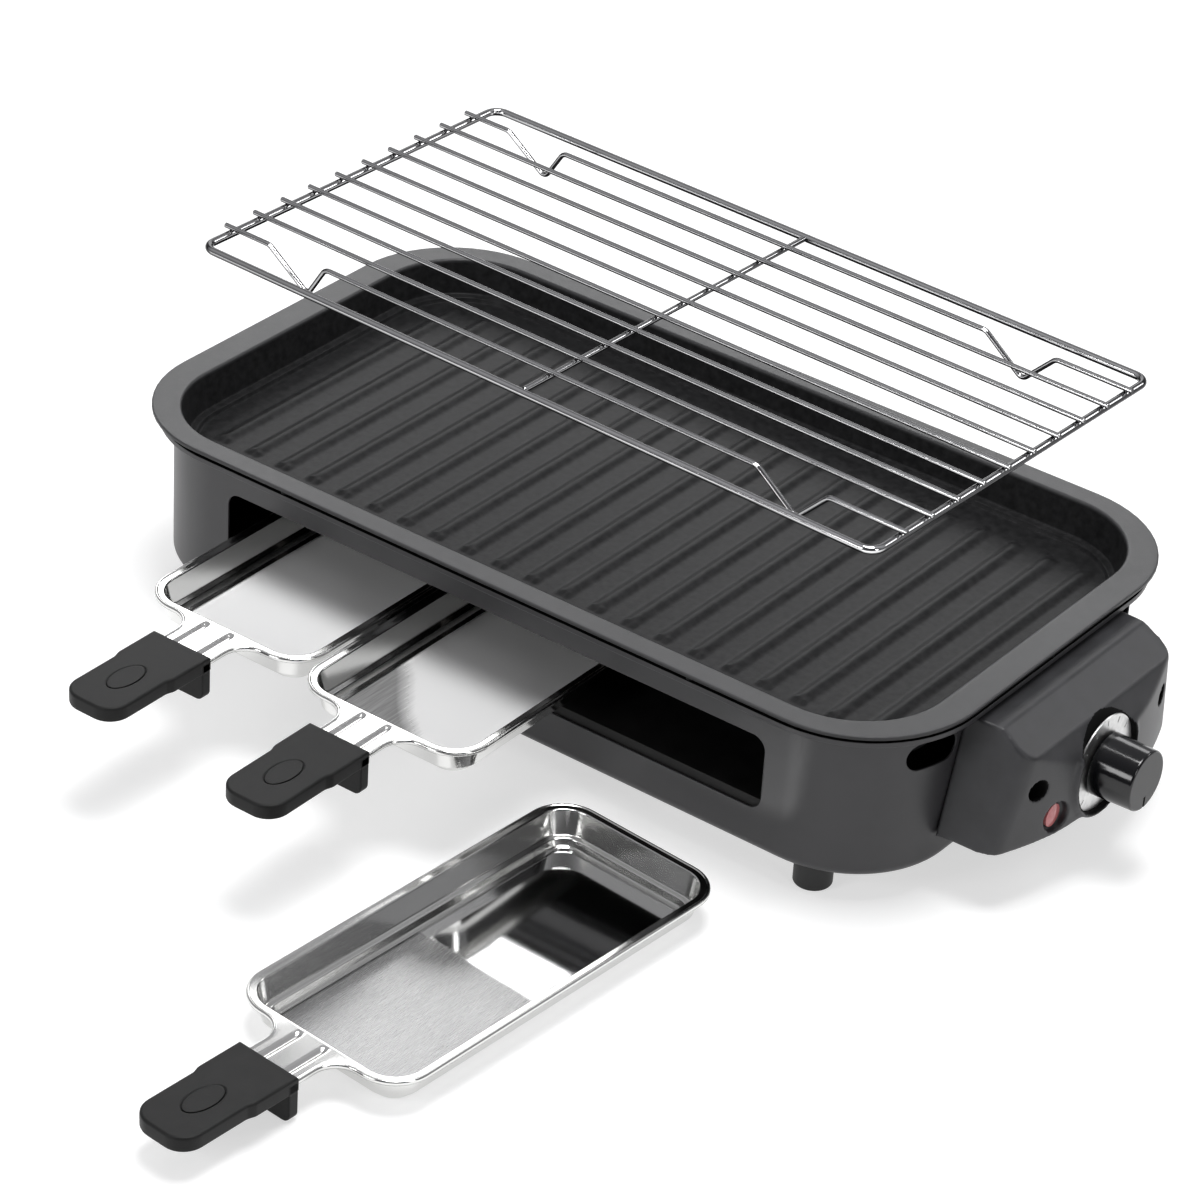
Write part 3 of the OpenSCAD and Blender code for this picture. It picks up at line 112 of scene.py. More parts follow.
sky.links.new(sky_dot.outputs["Value"], sky_half.inputs[0])
sky.links.new(sky_half.outputs[0], sky_shade.inputs["Fac"])
sky.links.new(sky_shade.outputs["Color"], sky_room.inputs["Color"])
sky.links.new(sky_rays.outputs["Is Camera Ray"], sky_mix.inputs["Fac"])
sky.links.new(sky_room.outputs[0], sky_mix.inputs[1])
sky.links.new(sky_white.outputs[0], sky_mix.inputs[2])
sky.links.new(sky_mix.outputs[0], sky_out.inputs["Surface"])

table_half, table_sink = 4, 0.0002
table_bm = bmesh.new()
bmesh.ops.create_grid(table_bm, x_segments=1, y_segments=1, size=table_half)
bmesh.ops.translate(table_bm, verts=table_bm.verts, vec=(0, 0, -table_sink))
table_mesh = bpy.data.meshes.new("table")
table_bm.to_mesh(table_mesh)
table_bm.free()
table = bpy.data.objects.new("table", table_mesh)
bpy.context.scene.collection.objects.link(table)
white_table = bpy.data.materials.new("white_table")
white_table.use_nodes = True
top = white_table.node_tree
top_shader = top.nodes["Principled BSDF"]
top_shader.inputs["Base Color"].default_value = (0.56, 0.56, 0.56, 1)
top_shader.inputs["Roughness"].default_value = 0.9
top_shader.inputs["Specular IOR Level"].default_value = 0.0
top_shader.inputs["Emission Color"].default_value = (1, 1, 1, 1)
top_rays = top.nodes.new("ShaderNodeLightPath")
top_seen = top.nodes.new("ShaderNodeMath")
top_seen.operation = "MAXIMUM"
top_glow = top.nodes.new("ShaderNodeMath")
top_glow.operation = "MULTIPLY"
top_glow.inputs[1].default_value = 0.58
top.links.new(top_rays.outputs["Is Camera Ray"], top_seen.inputs[0])
top.links.new(top_rays.outputs["Is Glossy Ray"], top_seen.inputs[1])
top.links.new(top_seen.outputs[0], top_glow.inputs[0])
top.links.new(top_glow.outputs[0], top_shader.inputs["Emission Strength"])
table_mesh.materials.append(white_table)


# Body: one deep-drawn steel shell with a flared rim, a long slot and oval vents,
# sprayed with a satin dark grey heat-resistant paint that is slightly grainy.
def new_group(name, inputs, outputs):
    """Empty shader group with named sockets, and its two end nodes."""
    group = bpy.data.node_groups.new(name, "ShaderNodeTree")
    for label, kind, value in inputs:
        socket = group.interface.new_socket(name=label, in_out="INPUT", socket_type=kind)
        socket.default_value = value
    for label, kind in outputs:
        group.interface.new_socket(name=label, in_out="OUTPUT", socket_type=kind)
    return group, group.nodes.new("NodeGroupInput"), group.nodes.new("NodeGroupOutput")


grain, grain_in, grain_out = new_group(
    "fine_grain",
    [("Size", "NodeSocketFloat", 1500.0), ("Mottle", "NodeSocketFloat", 60.0)],
    [("Height", "NodeSocketFloat"), ("Tone", "NodeSocketFloat")],
)
grain_place = grain.nodes.new("ShaderNodeTexCoord")
grain_fine = grain.nodes.new("ShaderNodeTexNoise")
grain_fine.inputs["Detail"].default_value = 3
grain_fine.inputs["Roughness"].default_value = 0.6
grain_broad = grain.nodes.new("ShaderNodeTexNoise")
grain_broad.inputs["Detail"].default_value = 4
grain.links.new(grain_place.outputs["Object"], grain_fine.inputs["Vector"])
grain.links.new(grain_place.outputs["Object"], grain_broad.inputs["Vector"])
grain.links.new(grain_in.outputs["Size"], grain_fine.inputs["Scale"])
grain.links.new(grain_in.outputs["Mottle"], grain_broad.inputs["Scale"])
grain.links.new(grain_fine.outputs["Fac"], grain_out.inputs["Height"])
grain.links.new(grain_broad.outputs["Fac"], grain_out.inputs["Tone"])

# Rounded normals at the edges, and a mask of the edges for the painted highlight in grained().
soft_edges, edges_in, edges_out = new_group(
    "soft_edges",
    [("Radius", "NodeSocketFloat", 0.0006)],
    [("Normal", "NodeSocketVector"), ("Edge", "NodeSocketFloat")],
)
edges_round = soft_edges.nodes.new("ShaderNodeBevel")
edges_round.samples = 6
edges_flat = soft_edges.nodes.new("ShaderNodeNewGeometry")
edges_dot = soft_edges.nodes.new("ShaderNodeVectorMath")
edges_dot.operation = "DOT_PRODUCT"
edges_mask = soft_edges.nodes.new("ShaderNodeMapRange")
edges_mask.inputs["From Min"].default_value = 0.995
edges_mask.inputs["From Max"].default_value = 0.85
soft_edges.links.new(edges_in.outputs["Radius"], edges_round.inputs["Radius"])
soft_edges.links.new(edges_round.outputs["Normal"], edges_dot.inputs[0])
soft_edges.links.new(edges_flat.outputs["Normal"], edges_dot.inputs[1])
soft_edges.links.new(edges_dot.outputs["Value"], edges_mask.inputs["Value"])
soft_edges.links.new(edges_round.outputs["Normal"], edges_out.inputs["Normal"])
soft_edges.links.new(edges_mask.outputs["Result"], edges_out.inputs["Edge"])


def grained(name, dark, light, rough, size, depth, mottle=60.0, edge=0.0005, metal=0.0, sheen=0.5):
    """Material with a fine grain, a faint mottle, and edges that are rounded in shading and lightened in
    colour as a painted highlight.
    """
    painted_edge_light, gloss_swing = 0.25, 0.05
    made = bpy.data.materials.new(name)
    made.use_nodes = True
    tree = made.node_tree
    shader = tree.nodes["Principled BSDF"]
    shader.inputs["Metallic"].default_value = metal
    shader.inputs["Specular IOR Level"].default_value = sheen
    skin = tree.nodes.new("ShaderNodeGroup")
    skin.node_tree = grain
    skin.inputs["Size"].default_value = size
    skin.inputs["Mottle"].default_value = mottle
    rim = tree.nodes.new("ShaderNodeGroup")
    rim.node_tree = soft_edges
    rim.inputs["Radius"].default_value = edge
    blend = tree.nodes.new("ShaderNodeMix")
    blend.data_type = "RGBA"
    blend.inputs["A"].default_value = (*dark, 1)
    blend.inputs["B"].default_value = (*light, 1)
    spread = tree.nodes.new("ShaderNodeMapRange")
    spread.inputs["From Min"].default_value = 0.3
    spread.inputs["From Max"].default_value = 0.7
    spread.inputs["To Max"].default_value = 1 - painted_edge_light
    # Painted highlight: the colour is lighter along the rounded edges.
    lift = tree.nodes.new("ShaderNodeMath")
    lift.operation = "MULTIPLY_ADD"
    lift.inputs[1].default_value = painted_edge_light
    tree.links.new(skin.outputs["Tone"], spread.inputs["Value"])
    tree.links.new(rim.outputs["Edge"], lift.inputs[0])
    tree.links.new(spread.outputs["Result"], lift.inputs[2])
    tree.links.new(lift.outputs[0], blend.inputs["Factor"])
    tree.links.new(blend.outputs["Result"], shader.inputs["Base Color"])
    gloss = tree.nodes.new("ShaderNodeMapRange")
    gloss.inputs["To Min"].default_value = rough - gloss_swing
    gloss.inputs["To Max"].default_value = rough + gloss_swing
    tree.links.new(skin.outputs["Tone"], gloss.inputs["Value"])
    tree.links.new(gloss.outputs["Result"], shader.inputs["Roughness"])
    bump = tree.nodes.new("ShaderNodeBump")
    bump.inputs["Strength"].default_value = 1.0
    bump.inputs["Distance"].default_value = depth
    tree.links.new(skin.outputs["Height"], bump.inputs["Height"])
    tree.links.new(rim.outputs["Normal"], bump.inputs["Normal"])
    tree.links.new(bump.outputs["Normal"], shader.inputs["Normal"])
    return made


def placed(name, bm, body, skins, slot, *nodes):
    """Turns a bmesh into a piece that rides on a body and stands for CAD nodes."""
    mesh = bpy.data.meshes.new(name)
    bm.to_mesh(mesh)
    bm.free()
    for skin in skins:
        mesh.materials.append(skin)
    piece = bpy.data.objects.new(name, mesh)
    bpy.context.scene.collection.objects.link(piece)
    even = piece.modifiers.new("even", "WEIGHTED_NORMAL")
    even.keep_sharp = True
    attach(piece, body)
    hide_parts(*nodes)
    return piece


def shaded(bm, sharp):
    """Smooth faces, with a hard line wherever two of them meet at more than an angle."""
    for face in bm.faces:
        face.smooth = True
    for edge in bm.edges:
        edge.smooth = not edge.is_manifold or edge.calc_face_angle() < math.radians(sharp)


def faired(name, node, body, skins, slot):
    """Copy of a closed CAD node whose curved faces are smooth and whose flat faces stay flat."""
    bm = bmesh.new()
    bm.from_mesh(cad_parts[node].data)
    bmesh.ops.remove_doubles(bm, verts=bm.verts, dist=weld_reach)
    for face in bm.faces:
        face.material_index = 0
    shaded(bm, sharp=38)
    return placed(name, bm, body, skins, slot, node)


weld_reach = 0.000002
body_paint = grained(
    "body_paint", (0.030, 0.0295, 0.032), (0.042, 0.041, 0.044),
    rough=0.40, size=2600, depth=0.00001, mottle=40, edge=0.0008,
)
# Painted shade: near black for the faces in the gap between the body's rim and the plate's flange, and for
# the plate's underside.
painted_gap_shade = grained(
    "painted_gap_shade", (0.0015, 0.0015, 0.0015), (0.003, 0.003, 0.003),
    rough=0.8, size=1500, depth=0.00001, sheen=0.05,
)
rim_level, rim_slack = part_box("body_shell")[1].z, 0.0003
body_skin = faired("body_skin", "body_shell", "body", (body_paint, painted_gap_shade), "body_paint")
# Painted shade: the rim's top face, under the plate's flange, takes the near-black material.
for side in body_skin.data.polygons:
    if side.normal.z > 0.9 and side.center.z > rim_level - rim_slack:
        side.material_index = 1


# Grill plate: cast aluminium with a deep well and smooth ribs, coated with a
# non-stick film that has a fine sparkle in it. It lies loose on the body on six pads.
def carried_round(bm, section, long, wide, corner, steps=14):
    """Carries a section (outward, up) once round a rectangle with round corners."""
    verts = [bm.verts.new((long / 2 - corner, -wide / 2 - out, up)) for out, up in section]
    edges = [bm.edges.new(pair) for pair in zip(verts, verts[1:])]
    span_x, span_y = long - 2 * corner, wide - 2 * corner
    for x, y, way in (
        (1, -1, (0, span_y, 0)),
        (1, 1, (-span_x, 0, 0)),
        (-1, 1, (0, -span_y, 0)),
        (-1, -1, (span_x, 0, 0)),
    ):
        turned = bmesh.ops.spin(
            bm,
            geom=verts + edges,
            cent=(x * span_x / 2, y * span_y / 2, 0),
            axis=(0, 0, 1),
            angle=math.pi / 2,
            steps=steps,
            use_merge=False,
        )["geom_last"]
        turned_edges = [g for g in turned if isinstance(g, bmesh.types.BMEdge)]
        made = bmesh.ops.extrude_edge_only(bm, edges=turned_edges)["geom"]
        verts = [g for g in made if isinstance(g, bmesh.types.BMVert)]
        edges = [g for g in made if isinstance(g, bmesh.types.BMEdge) and all(v in verts for v in g.verts)]
        bmesh.ops.translate(bm, verts=verts, vec=way)
    bmesh.ops.remove_doubles(bm, verts=bm.verts, dist=weld_reach)


def arc(centre, radius, start, end, count):
    """Points on an arc in a section, from one angle to another in degrees."""
    step = (end - start) / count
    return [
        (
            centre[0] + radius * math.cos(math.radians(start + i * step)),
            centre[1] + radius * math.sin(math.radians(start + i * step)),
        )
        for i in range(count + 1)
    ]


def smooth_rise(value):
    """Soft step from 0 to 1."""
    held = min(max(value, 0.0), 1.0)
    return held * held * (3 - 2 * held)


def ring_at(bm, level, long, wide):
    """Open edges of a closed run that lies at one level, along a rectangle's outline."""
    return [
        e
        for e in bm.edges
        if e.is_boundary
        and all(abs(v.co.z - level) < same_place for v in e.verts)
        and all(abs(v.co.x) < long / 2 and abs(v.co.y) < wide / 2 for v in e.verts)
        and all(abs(v.co.x) > long / 2 - corner_zone or abs(v.co.y) > wide / 2 - corner_zone for v in e.verts)
    ]


same_place, corner_zone = 0.000001, 0.07
plate_low, plate_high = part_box("grill_plate")
plate_mid = (plate_low + plate_high) / 2
plate_long, plate_wide, plate_corner = plate_high.x - plate_low.x, plate_high.y - plate_low.y, 0.061
plate_top, plate_thick = plate_high.z, 0.003
flange_deep, flange_join, lip_round, lip_under = 0.0038, 0.0030, 0.0007, 0.0017
well_edge_x, well_edge_y, well_corner, well_deep = 0.016, 0.012, 0.047, 0.021
well_long, well_wide = plate_long - 2 * well_edge_x, plate_wide - 2 * well_edge_y
floor_level, floor_edge, mouth_round = plate_top - well_deep, 0.0125, 0.0016
# Heights over which the painted light on the flange comes in.
painted_light_low, painted_light_high = plate_top - 0.0022, plate_top - 0.0004

# Painted light: the coating has a darker tone and a lower specular level in the well, as painted shade, and a
# lighter tone and a higher specular level on the flange, as a painted sheen.
plate_coating = grained(
    "plate_coating", (0.010, 0.010, 0.0105), (0.026, 0.026, 0.027),
    rough=0.42, size=1500, depth=0.00005, mottle=260, edge=0.0006,
)
coat = plate_coating.node_tree
coat_shader = coat.nodes["Principled BSDF"]
coat_place = coat.nodes.new("ShaderNodeTexCoord")
coat_height = coat.nodes.new("ShaderNodeSeparateXYZ")
coat_painted_light = coat.nodes.new("ShaderNodeMapRange")
coat_painted_light.inputs["From Min"].default_value = painted_light_low
coat_painted_light.inputs["From Max"].default_value = painted_light_high
coat_painted_sheen = coat.nodes.new("ShaderNodeMapRange")
coat_painted_sheen.inputs["To Min"].default_value = 0.10
coat_painted_sheen.inputs["To Max"].default_value = 0.40
coat_painted_tone = coat.nodes.new("ShaderNodeMix")
coat_painted_tone.data_type = "RGBA"
coat_painted_tone.inputs["B"].default_value = (0.040, 0.040, 0.042, 1)
coat.links.new(coat_place.outputs["Object"], coat_height.inputs[0])
coat.links.new(coat_height.outputs["Z"], coat_painted_light.inputs["Value"])
coat.links.new(coat_painted_light.outputs["Result"], coat_painted_sheen.inputs["Value"])
coat.links.new(coat_painted_sheen.outputs["Result"], coat_shader.inputs["Specular IOR Level"])
coat.links.new(coat_painted_light.outputs["Result"], coat_painted_tone.inputs["Factor"])
coat.links.new(coat_shader.inputs["Base Color"].links[0].from_socket, coat_painted_tone.inputs["A"])
coat.links.new(coat_painted_tone.outputs["Result"], coat_shader.inputs["Base Color"])

# Flange, well and underside are three sections carried round, then joined and filled.
plate_bm = bmesh.new()
rim_section = (
    [(-flange_join, plate_top - flange_deep), (-0.0022, plate_top - 0.0027), (-0.0006, plate_top - 0.0022)]
    + [(0.0, plate_top - lip_under)]
    + arc((-lip_round, plate_top - lip_round), lip_round, 0, 90, 4)
    + [(-flange_join, plate_top)]
)
carried_round(plate_bm, rim_section, plate_long, plate_wide, plate_corner)
well_section = (
    [(0.0038, plate_top)]
    + arc((0.0012, plate_top - mouth_round), mouth_round, 90, 168, 6)
    + [(-0.0034, floor_level + 0.0042)]
    + arc((-0.0046, floor_level + 0.0038), 0.0012, 0, -80, 4)
    + [(-0.0064, floor_level + 0.0024)]
    + arc((-0.0066, floor_level + 0.0016), 0.0008, 90, 150, 3)
    + [(-0.0078, floor_level + 0.0003), (-0.0084, floor_level), (-floor_edge, floor_level)]
)
carried_round(plate_bm, well_section, well_long, well_wide, well_corner)
under_section = [
    (0.0046, plate_top - flange_deep),
    (0.0022, plate_top - 0.0046),
    (-0.0018, floor_level + 0.002),
    (-0.0040, floor_level - plate_thick),
    (-floor_edge, floor_level - plate_thick),
]
carried_round(plate_bm, under_section, well_long, well_wide, well_corner)
bmesh.ops.bridge_loops(plate_bm, edges=ring_at(plate_bm, plate_top, plate_long, plate_wide))
bmesh.ops.triangle_fill(
    plate_bm,
    use_beauty=True,
    use_dissolve=False,
    edges=ring_at(plate_bm, plate_top - flange_deep, plate_long, plate_wide),
    normal=(0, 0, -1),
)
bmesh.ops.contextual_create(plate_bm, geom=ring_at(plate_bm, floor_level - plate_thick, well_long, well_wide))

# The ribs are pressed into a fine grid, each with a pair of small dots at its near end.
rib_count, rib_pitch, rib_shift, rib_half_long, rib_half_wide = 21, 0.01925, 0.0037, 0.0943, 0.0052
rib_high, rib_flank, rib_run_out = 0.0015, 0.0050, 0.0060
dot_in, dot_high, dot_reach, dot_flank = 0.0024, 0.0012, 0.0022, 0.0020
floor_margin, floor_trim, floor_sink, floor_under, floor_over = 0.022, 0.0098, 0.00002, 0.001, 0.003
floor_grid = bmesh.ops.create_grid(plate_bm, x_segments=350, y_segments=105, size=0.5)["verts"]
bmesh.ops.scale(plate_bm, verts=floor_grid, vec=(well_long - floor_margin, well_wide - floor_margin, 1))
for vert in floor_grid:
    place = vert.co.x / rib_pitch
    rise = 0.0
    if abs(round(place)) <= (rib_count - 1) / 2:
        across = abs(place - round(place)) * rib_pitch
        along = rib_half_long - abs(vert.co.y - rib_shift)
        rise = rib_high * smooth_rise((rib_half_wide - across) / rib_flank) * smooth_rise(along / rib_run_out)
        if vert.co.y < 0:
            dot = math.hypot(across - dot_in, along - dot_in)
            rise += dot_high * smooth_rise((dot_reach - dot) / dot_flank)
    vert.co.z = floor_level - floor_sink + rise
corner_x, corner_y = (well_long - well_corner * 2) / 2, (well_wide - well_corner * 2) / 2
outside = []
for face in {f for v in floor_grid for f in v.link_faces}:
    middle = face.calc_center_median()
    past = math.hypot(max(abs(middle.x) - corner_x, 0), max(abs(middle.y) - corner_y, 0))
    if past > well_corner - floor_trim:
        outside.append(face)
bmesh.ops.delete(plate_bm, geom=outside, context="FACES")

# Six pads under the flange stand on the body's rim, a little outside its wall.
pad_round, pad_high, pad_foot, pad_side = 0.0018, 0.0030, 0.00515, 0.12
wall_in_x, wall_in_y, pad_out = 0.009, 0.010, 0.00525
pad_x, pad_y = plate_long / 2 - wall_in_x + pad_out, plate_wide / 2 - wall_in_y + pad_out
for spot_x, spot_y in (
    (-pad_side, -pad_y), (pad_side, -pad_y), (-pad_side, pad_y), (pad_side, pad_y), (-pad_x, 0), (pad_x, 0)
):
    pad = bmesh.ops.create_cone(
        plate_bm, cap_ends=True, segments=20, radius1=pad_round, radius2=pad_round, depth=pad_high
    )["verts"]
    bmesh.ops.translate(plate_bm, verts=pad, vec=(spot_x, spot_y, plate_top - pad_foot + pad_high / 2))
bmesh.ops.recalc_face_normals(plate_bm, faces=plate_bm.faces)
for face in plate_bm.faces:
    above_floor = face.calc_center_median().z - floor_level
    if face.normal.z < -0.3 and -floor_under < above_floor < floor_over:
        face.normal_flip()
    # Painted shade: faces that look down, under the plate, take the near-black material.
    if face.normal.z < -0.5:
        face.material_index = 1
shaded(plate_bm, sharp=55)
bmesh.ops.translate(plate_bm, verts=plate_bm.verts, vec=(plate_mid.x, plate_mid.y, 0))
placed("plate_skin", plate_bm, "plate", (plate_coating, painted_gap_shade), "plate_coating", "grill_plate")

# Wire rack: round steel wires, welded where they cross and chromed all over.
# Two of the wires are bent down into pointed legs.
rack_chrome = bpy.data.materials.new("rack_chrome")
rack_chrome.use_nodes = True
chrome = rack_chrome.node_tree
chrome_shader = chrome.nodes["Principled BSDF"]
chrome_shader.inputs["Metallic"].default_value = 1.0
chrome_grain = chrome.nodes.new("ShaderNodeGroup")
chrome_grain.node_tree = grain
chrome_grain.inputs["Size"].default_value = 900.0
chrome_grain.inputs["Mottle"].default_value = 120.0
chrome_tone = chrome.nodes.new("ShaderNodeMix")
chrome_tone.data_type = "RGBA"
chrome_tone.inputs["A"].default_value = (0.80, 0.80, 0.81, 1)
chrome_tone.inputs["B"].default_value = (0.92, 0.92, 0.93, 1)
chrome_gloss = chrome.nodes.new("ShaderNodeMapRange")
chrome_gloss.inputs["To Min"].default_value = 0.06
chrome_gloss.inputs["To Max"].default_value = 0.16
# Painted reflection: the base colour turns near black towards each wire's flanks as the camera sees them, in
# place of the dark things mirrored there.
chrome_turn = chrome.nodes.new("ShaderNodeLayerWeight")
chrome_painted_flank = chrome.nodes.new("ShaderNodeMapRange")
chrome_painted_flank.inputs["From Min"].default_value = 0.16
chrome_painted_flank.inputs["From Max"].default_value = 0.44
chrome_painted_dark = chrome.nodes.new("ShaderNodeMix")
chrome_painted_dark.data_type = "RGBA"
chrome_painted_dark.inputs["B"].default_value = (0.035, 0.035, 0.037, 1)
chrome.links.new(chrome_grain.outputs["Tone"], chrome_tone.inputs["Factor"])
chrome.links.new(chrome_turn.outputs["Facing"], chrome_painted_flank.inputs["Value"])
chrome.links.new(chrome_painted_flank.outputs["Result"], chrome_painted_dark.inputs["Factor"])
chrome.links.new(chrome_tone.outputs["Result"], chrome_painted_dark.inputs["A"])
chrome.links.new(chrome_painted_dark.outputs["Result"], chrome_shader.inputs["Base Color"])
chrome.links.new(chrome_grain.outputs["Tone"], chrome_gloss.inputs["Value"])
chrome.links.new(chrome_gloss.outputs["Result"], chrome_shader.inputs["Roughness"])


def bent_wire(points, bends, thick, sides=16):
    """Round wire through points in one plane, with a bend of its own radius at each inner point."""
    bm = bmesh.new()
    ring = bmesh.ops.create_circle(bm, segments=sides, radius=thick / 2, cap_ends=False)["verts"]
    runs = [points[i + 1] - points[i] for i in range(len(points) - 1)]
    first = runs[0].normalized()
    bmesh.ops.rotate(bm, verts=ring, cent=(0, 0, 0), matrix=first.to_track_quat("Z", "Y").to_matrix())
    bmesh.ops.translate(bm, verts=ring, vec=points[0])
    loop = list(bm.edges)
    bmesh.ops.contextual_create(bm, geom=loop)
    trims = [radius * math.tan(runs[i].angle(runs[i + 1]) / 2) for i, radius in enumerate(bends)]
    trims = [0.0] + trims + [0.0]
    for i, run in enumerate(runs):
        way = run.normalized()
        made = bmesh.ops.extrude_edge_only(bm, edges=loop)["geom"]
        verts = [g for g in made if isinstance(g, bmesh.types.BMVert)]
        loop = [g for g in made if isinstance(g, bmesh.types.BMEdge) and all(v in verts for v in g.verts)]
        bmesh.ops.translate(bm, verts=verts, vec=way * (run.length - trims[i] - trims[i + 1]))
        if i < len(bends):
            after = runs[i + 1].normalized()
            axis = way.cross(after).normalized()
            start = points[i] + way * (run.length - trims[i + 1])
            centre = start + axis.cross(way) * bends[i]
            made = bmesh.ops.spin(
                bm, geom=verts + loop, cent=centre, axis=axis, angle=way.angle(after), steps=7,
                use_merge=False,
            )["geom_last"]
            loop = [g for g in made if isinstance(g, bmesh.types.BMEdge)]
    bmesh.ops.contextual_create(bm, geom=loop)
    bmesh.ops.remove_doubles(bm, verts=bm.verts, dist=same_place)
    bmesh.ops.recalc_face_normals(bm, faces=bm.faces)
    for face in bm.faces:
        face.smooth = len(face.verts) == 4
    return bm


def on_rack(name, bm, level, node):
    """Turns a wire drawn about the rack's middle to how the rack hangs."""
    bmesh.ops.rotate(bm, verts=bm.verts, cent=(0, 0, 0), matrix=Matrix.Rotation(rack_turn, 3, "Z"))
    bmesh.ops.translate(bm, verts=bm.verts, vec=(rack_mid.x, rack_mid.y, level))
    placed(name, bm, "rack", (rack_chrome,), "rack_chrome", node)


rack_turn = math.radians(-2)
rack_low, rack_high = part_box("rack_frame")
rack_mid = (rack_low + rack_high) / 2
frame_wire, bar_wire, cross_wire, wire_gap = 0.0040, 0.0026, 0.0030, 0.00005
side_x, side_y, bar_reach, bar_gaps = 0.1995, 0.1078, 0.2031, 11
frame_bend, frame_weld, bar_tip = 0.007, 0.02, 0.0005
bar_level = rack_mid.z + (frame_wire + bar_wire) / 2 + wire_gap
cross_level = bar_level - (bar_wire + cross_wire) / 2 - wire_gap
frame_line = (
    (frame_weld, -side_y),
    (side_x, -side_y),
    (side_x, side_y),
    (-side_x, side_y),
    (-side_x, -side_y),
    (frame_weld, -side_y),
)
frame_ring = bent_wire([Vector((x, y, 0)) for x, y in frame_line], [frame_bend] * 4, frame_wire, sides=24)
on_rack("rack_frame_wire", frame_ring, rack_mid.z, "rack_frame")

# Plain wires, between the two that carry legs at the first and last places.
bars = bmesh.new()
for number in range(2, bar_gaps - 1):
    bar = bmesh.ops.create_cone(
        bars, cap_ends=True, segments=20, radius1=bar_wire / 2, radius2=bar_wire / 2, depth=2 * bar_reach
    )["verts"]
    ends = [
        e
        for e in {e for v in bar for e in v.link_edges}
        if abs(e.verts[0].co.z - e.verts[1].co.z) < same_place
    ]
    bmesh.ops.bevel(
        bars, geom=ends, offset=bar_tip, offset_type="OFFSET", segments=3, profile=0.5, affect="EDGES",
        material=-1,
    )
    bar = [v for v in bars.verts if abs(v.co.x) < bar_wire and abs(v.co.y) < bar_wire]
    bmesh.ops.rotate(bars, verts=bar, cent=(0, 0, 0), matrix=Matrix.Rotation(math.pi / 2, 3, "Y"))
    bmesh.ops.translate(bars, verts=bar, vec=(0, number * 2 * side_y / bar_gaps - side_y, 0))
for face in bars.faces:
    face.smooth = True
on_rack("rack_bar_wires", bars, bar_level, "rack_bars")

cross = bmesh.new()
bmesh.ops.create_cone(
    cross, cap_ends=True, segments=24, radius1=cross_wire / 2, radius2=cross_wire / 2,
    depth=2 * side_y - frame_wire,
)
bmesh.ops.rotate(cross, verts=cross.verts, cent=(0, 0, 0), matrix=Matrix.Rotation(math.pi / 2, 3, "X"))
for face in cross.faces:
    face.smooth = True
on_rack("rack_cross_wire", cross, cross_level, "rack_cross_bar")

leg_drop, leg_side = 0.0172, side_y - 2 * side_y / bar_gaps
leg_bends = (0.006, 0.0035, 0.005) * 2
leg_line = (
    (-bar_reach, 0),
    (-0.1745, 0),
    (-0.1495, -leg_drop),
    (-0.1385, 0),
    (0.1205, 0),
    (0.1435, -leg_drop),
    (0.1605, 0),
    (bar_reach, 0),
)
for leg_name, leg_y in (("front", -leg_side), ("back", leg_side)):
    leg = bent_wire([Vector((x, 0, z)) for x, z in leg_line], leg_bends, bar_wire)
    bmesh.ops.translate(leg, verts=leg.verts, vec=(0, leg_y, 0))
    on_rack("rack_leg_wire_" + leg_name, leg, bar_level, "rack_leg_bar_" + leg_name)

# Pans: thin steel trays, pressed and polished, with a duller brushed floor.
# The neck of each tray runs on under its moulded handle.
pan_steel = bpy.data.materials.new("pan_steel")
pan_steel.use_nodes = True
steel = pan_steel.node_tree
steel_shader = steel.nodes["Principled BSDF"]
steel_shader.inputs["Metallic"].default_value = 1.0
steel_shader.inputs["Base Color"].default_value = (0.74, 0.74, 0.73, 1)
steel_grain = steel.nodes.new("ShaderNodeGroup")
steel_grain.node_tree = grain
steel_grain.inputs["Size"].default_value = 700.0
steel_grain.inputs["Mottle"].default_value = 30.0
steel_gloss = steel.nodes.new("ShaderNodeMapRange")
steel_gloss.inputs["To Min"].default_value = 0.08
steel_gloss.inputs["To Max"].default_value = 0.2
steel.links.new(steel_grain.outputs["Tone"], steel_gloss.inputs["Value"])
steel.links.new(steel_gloss.outputs["Result"], steel_shader.inputs["Roughness"])


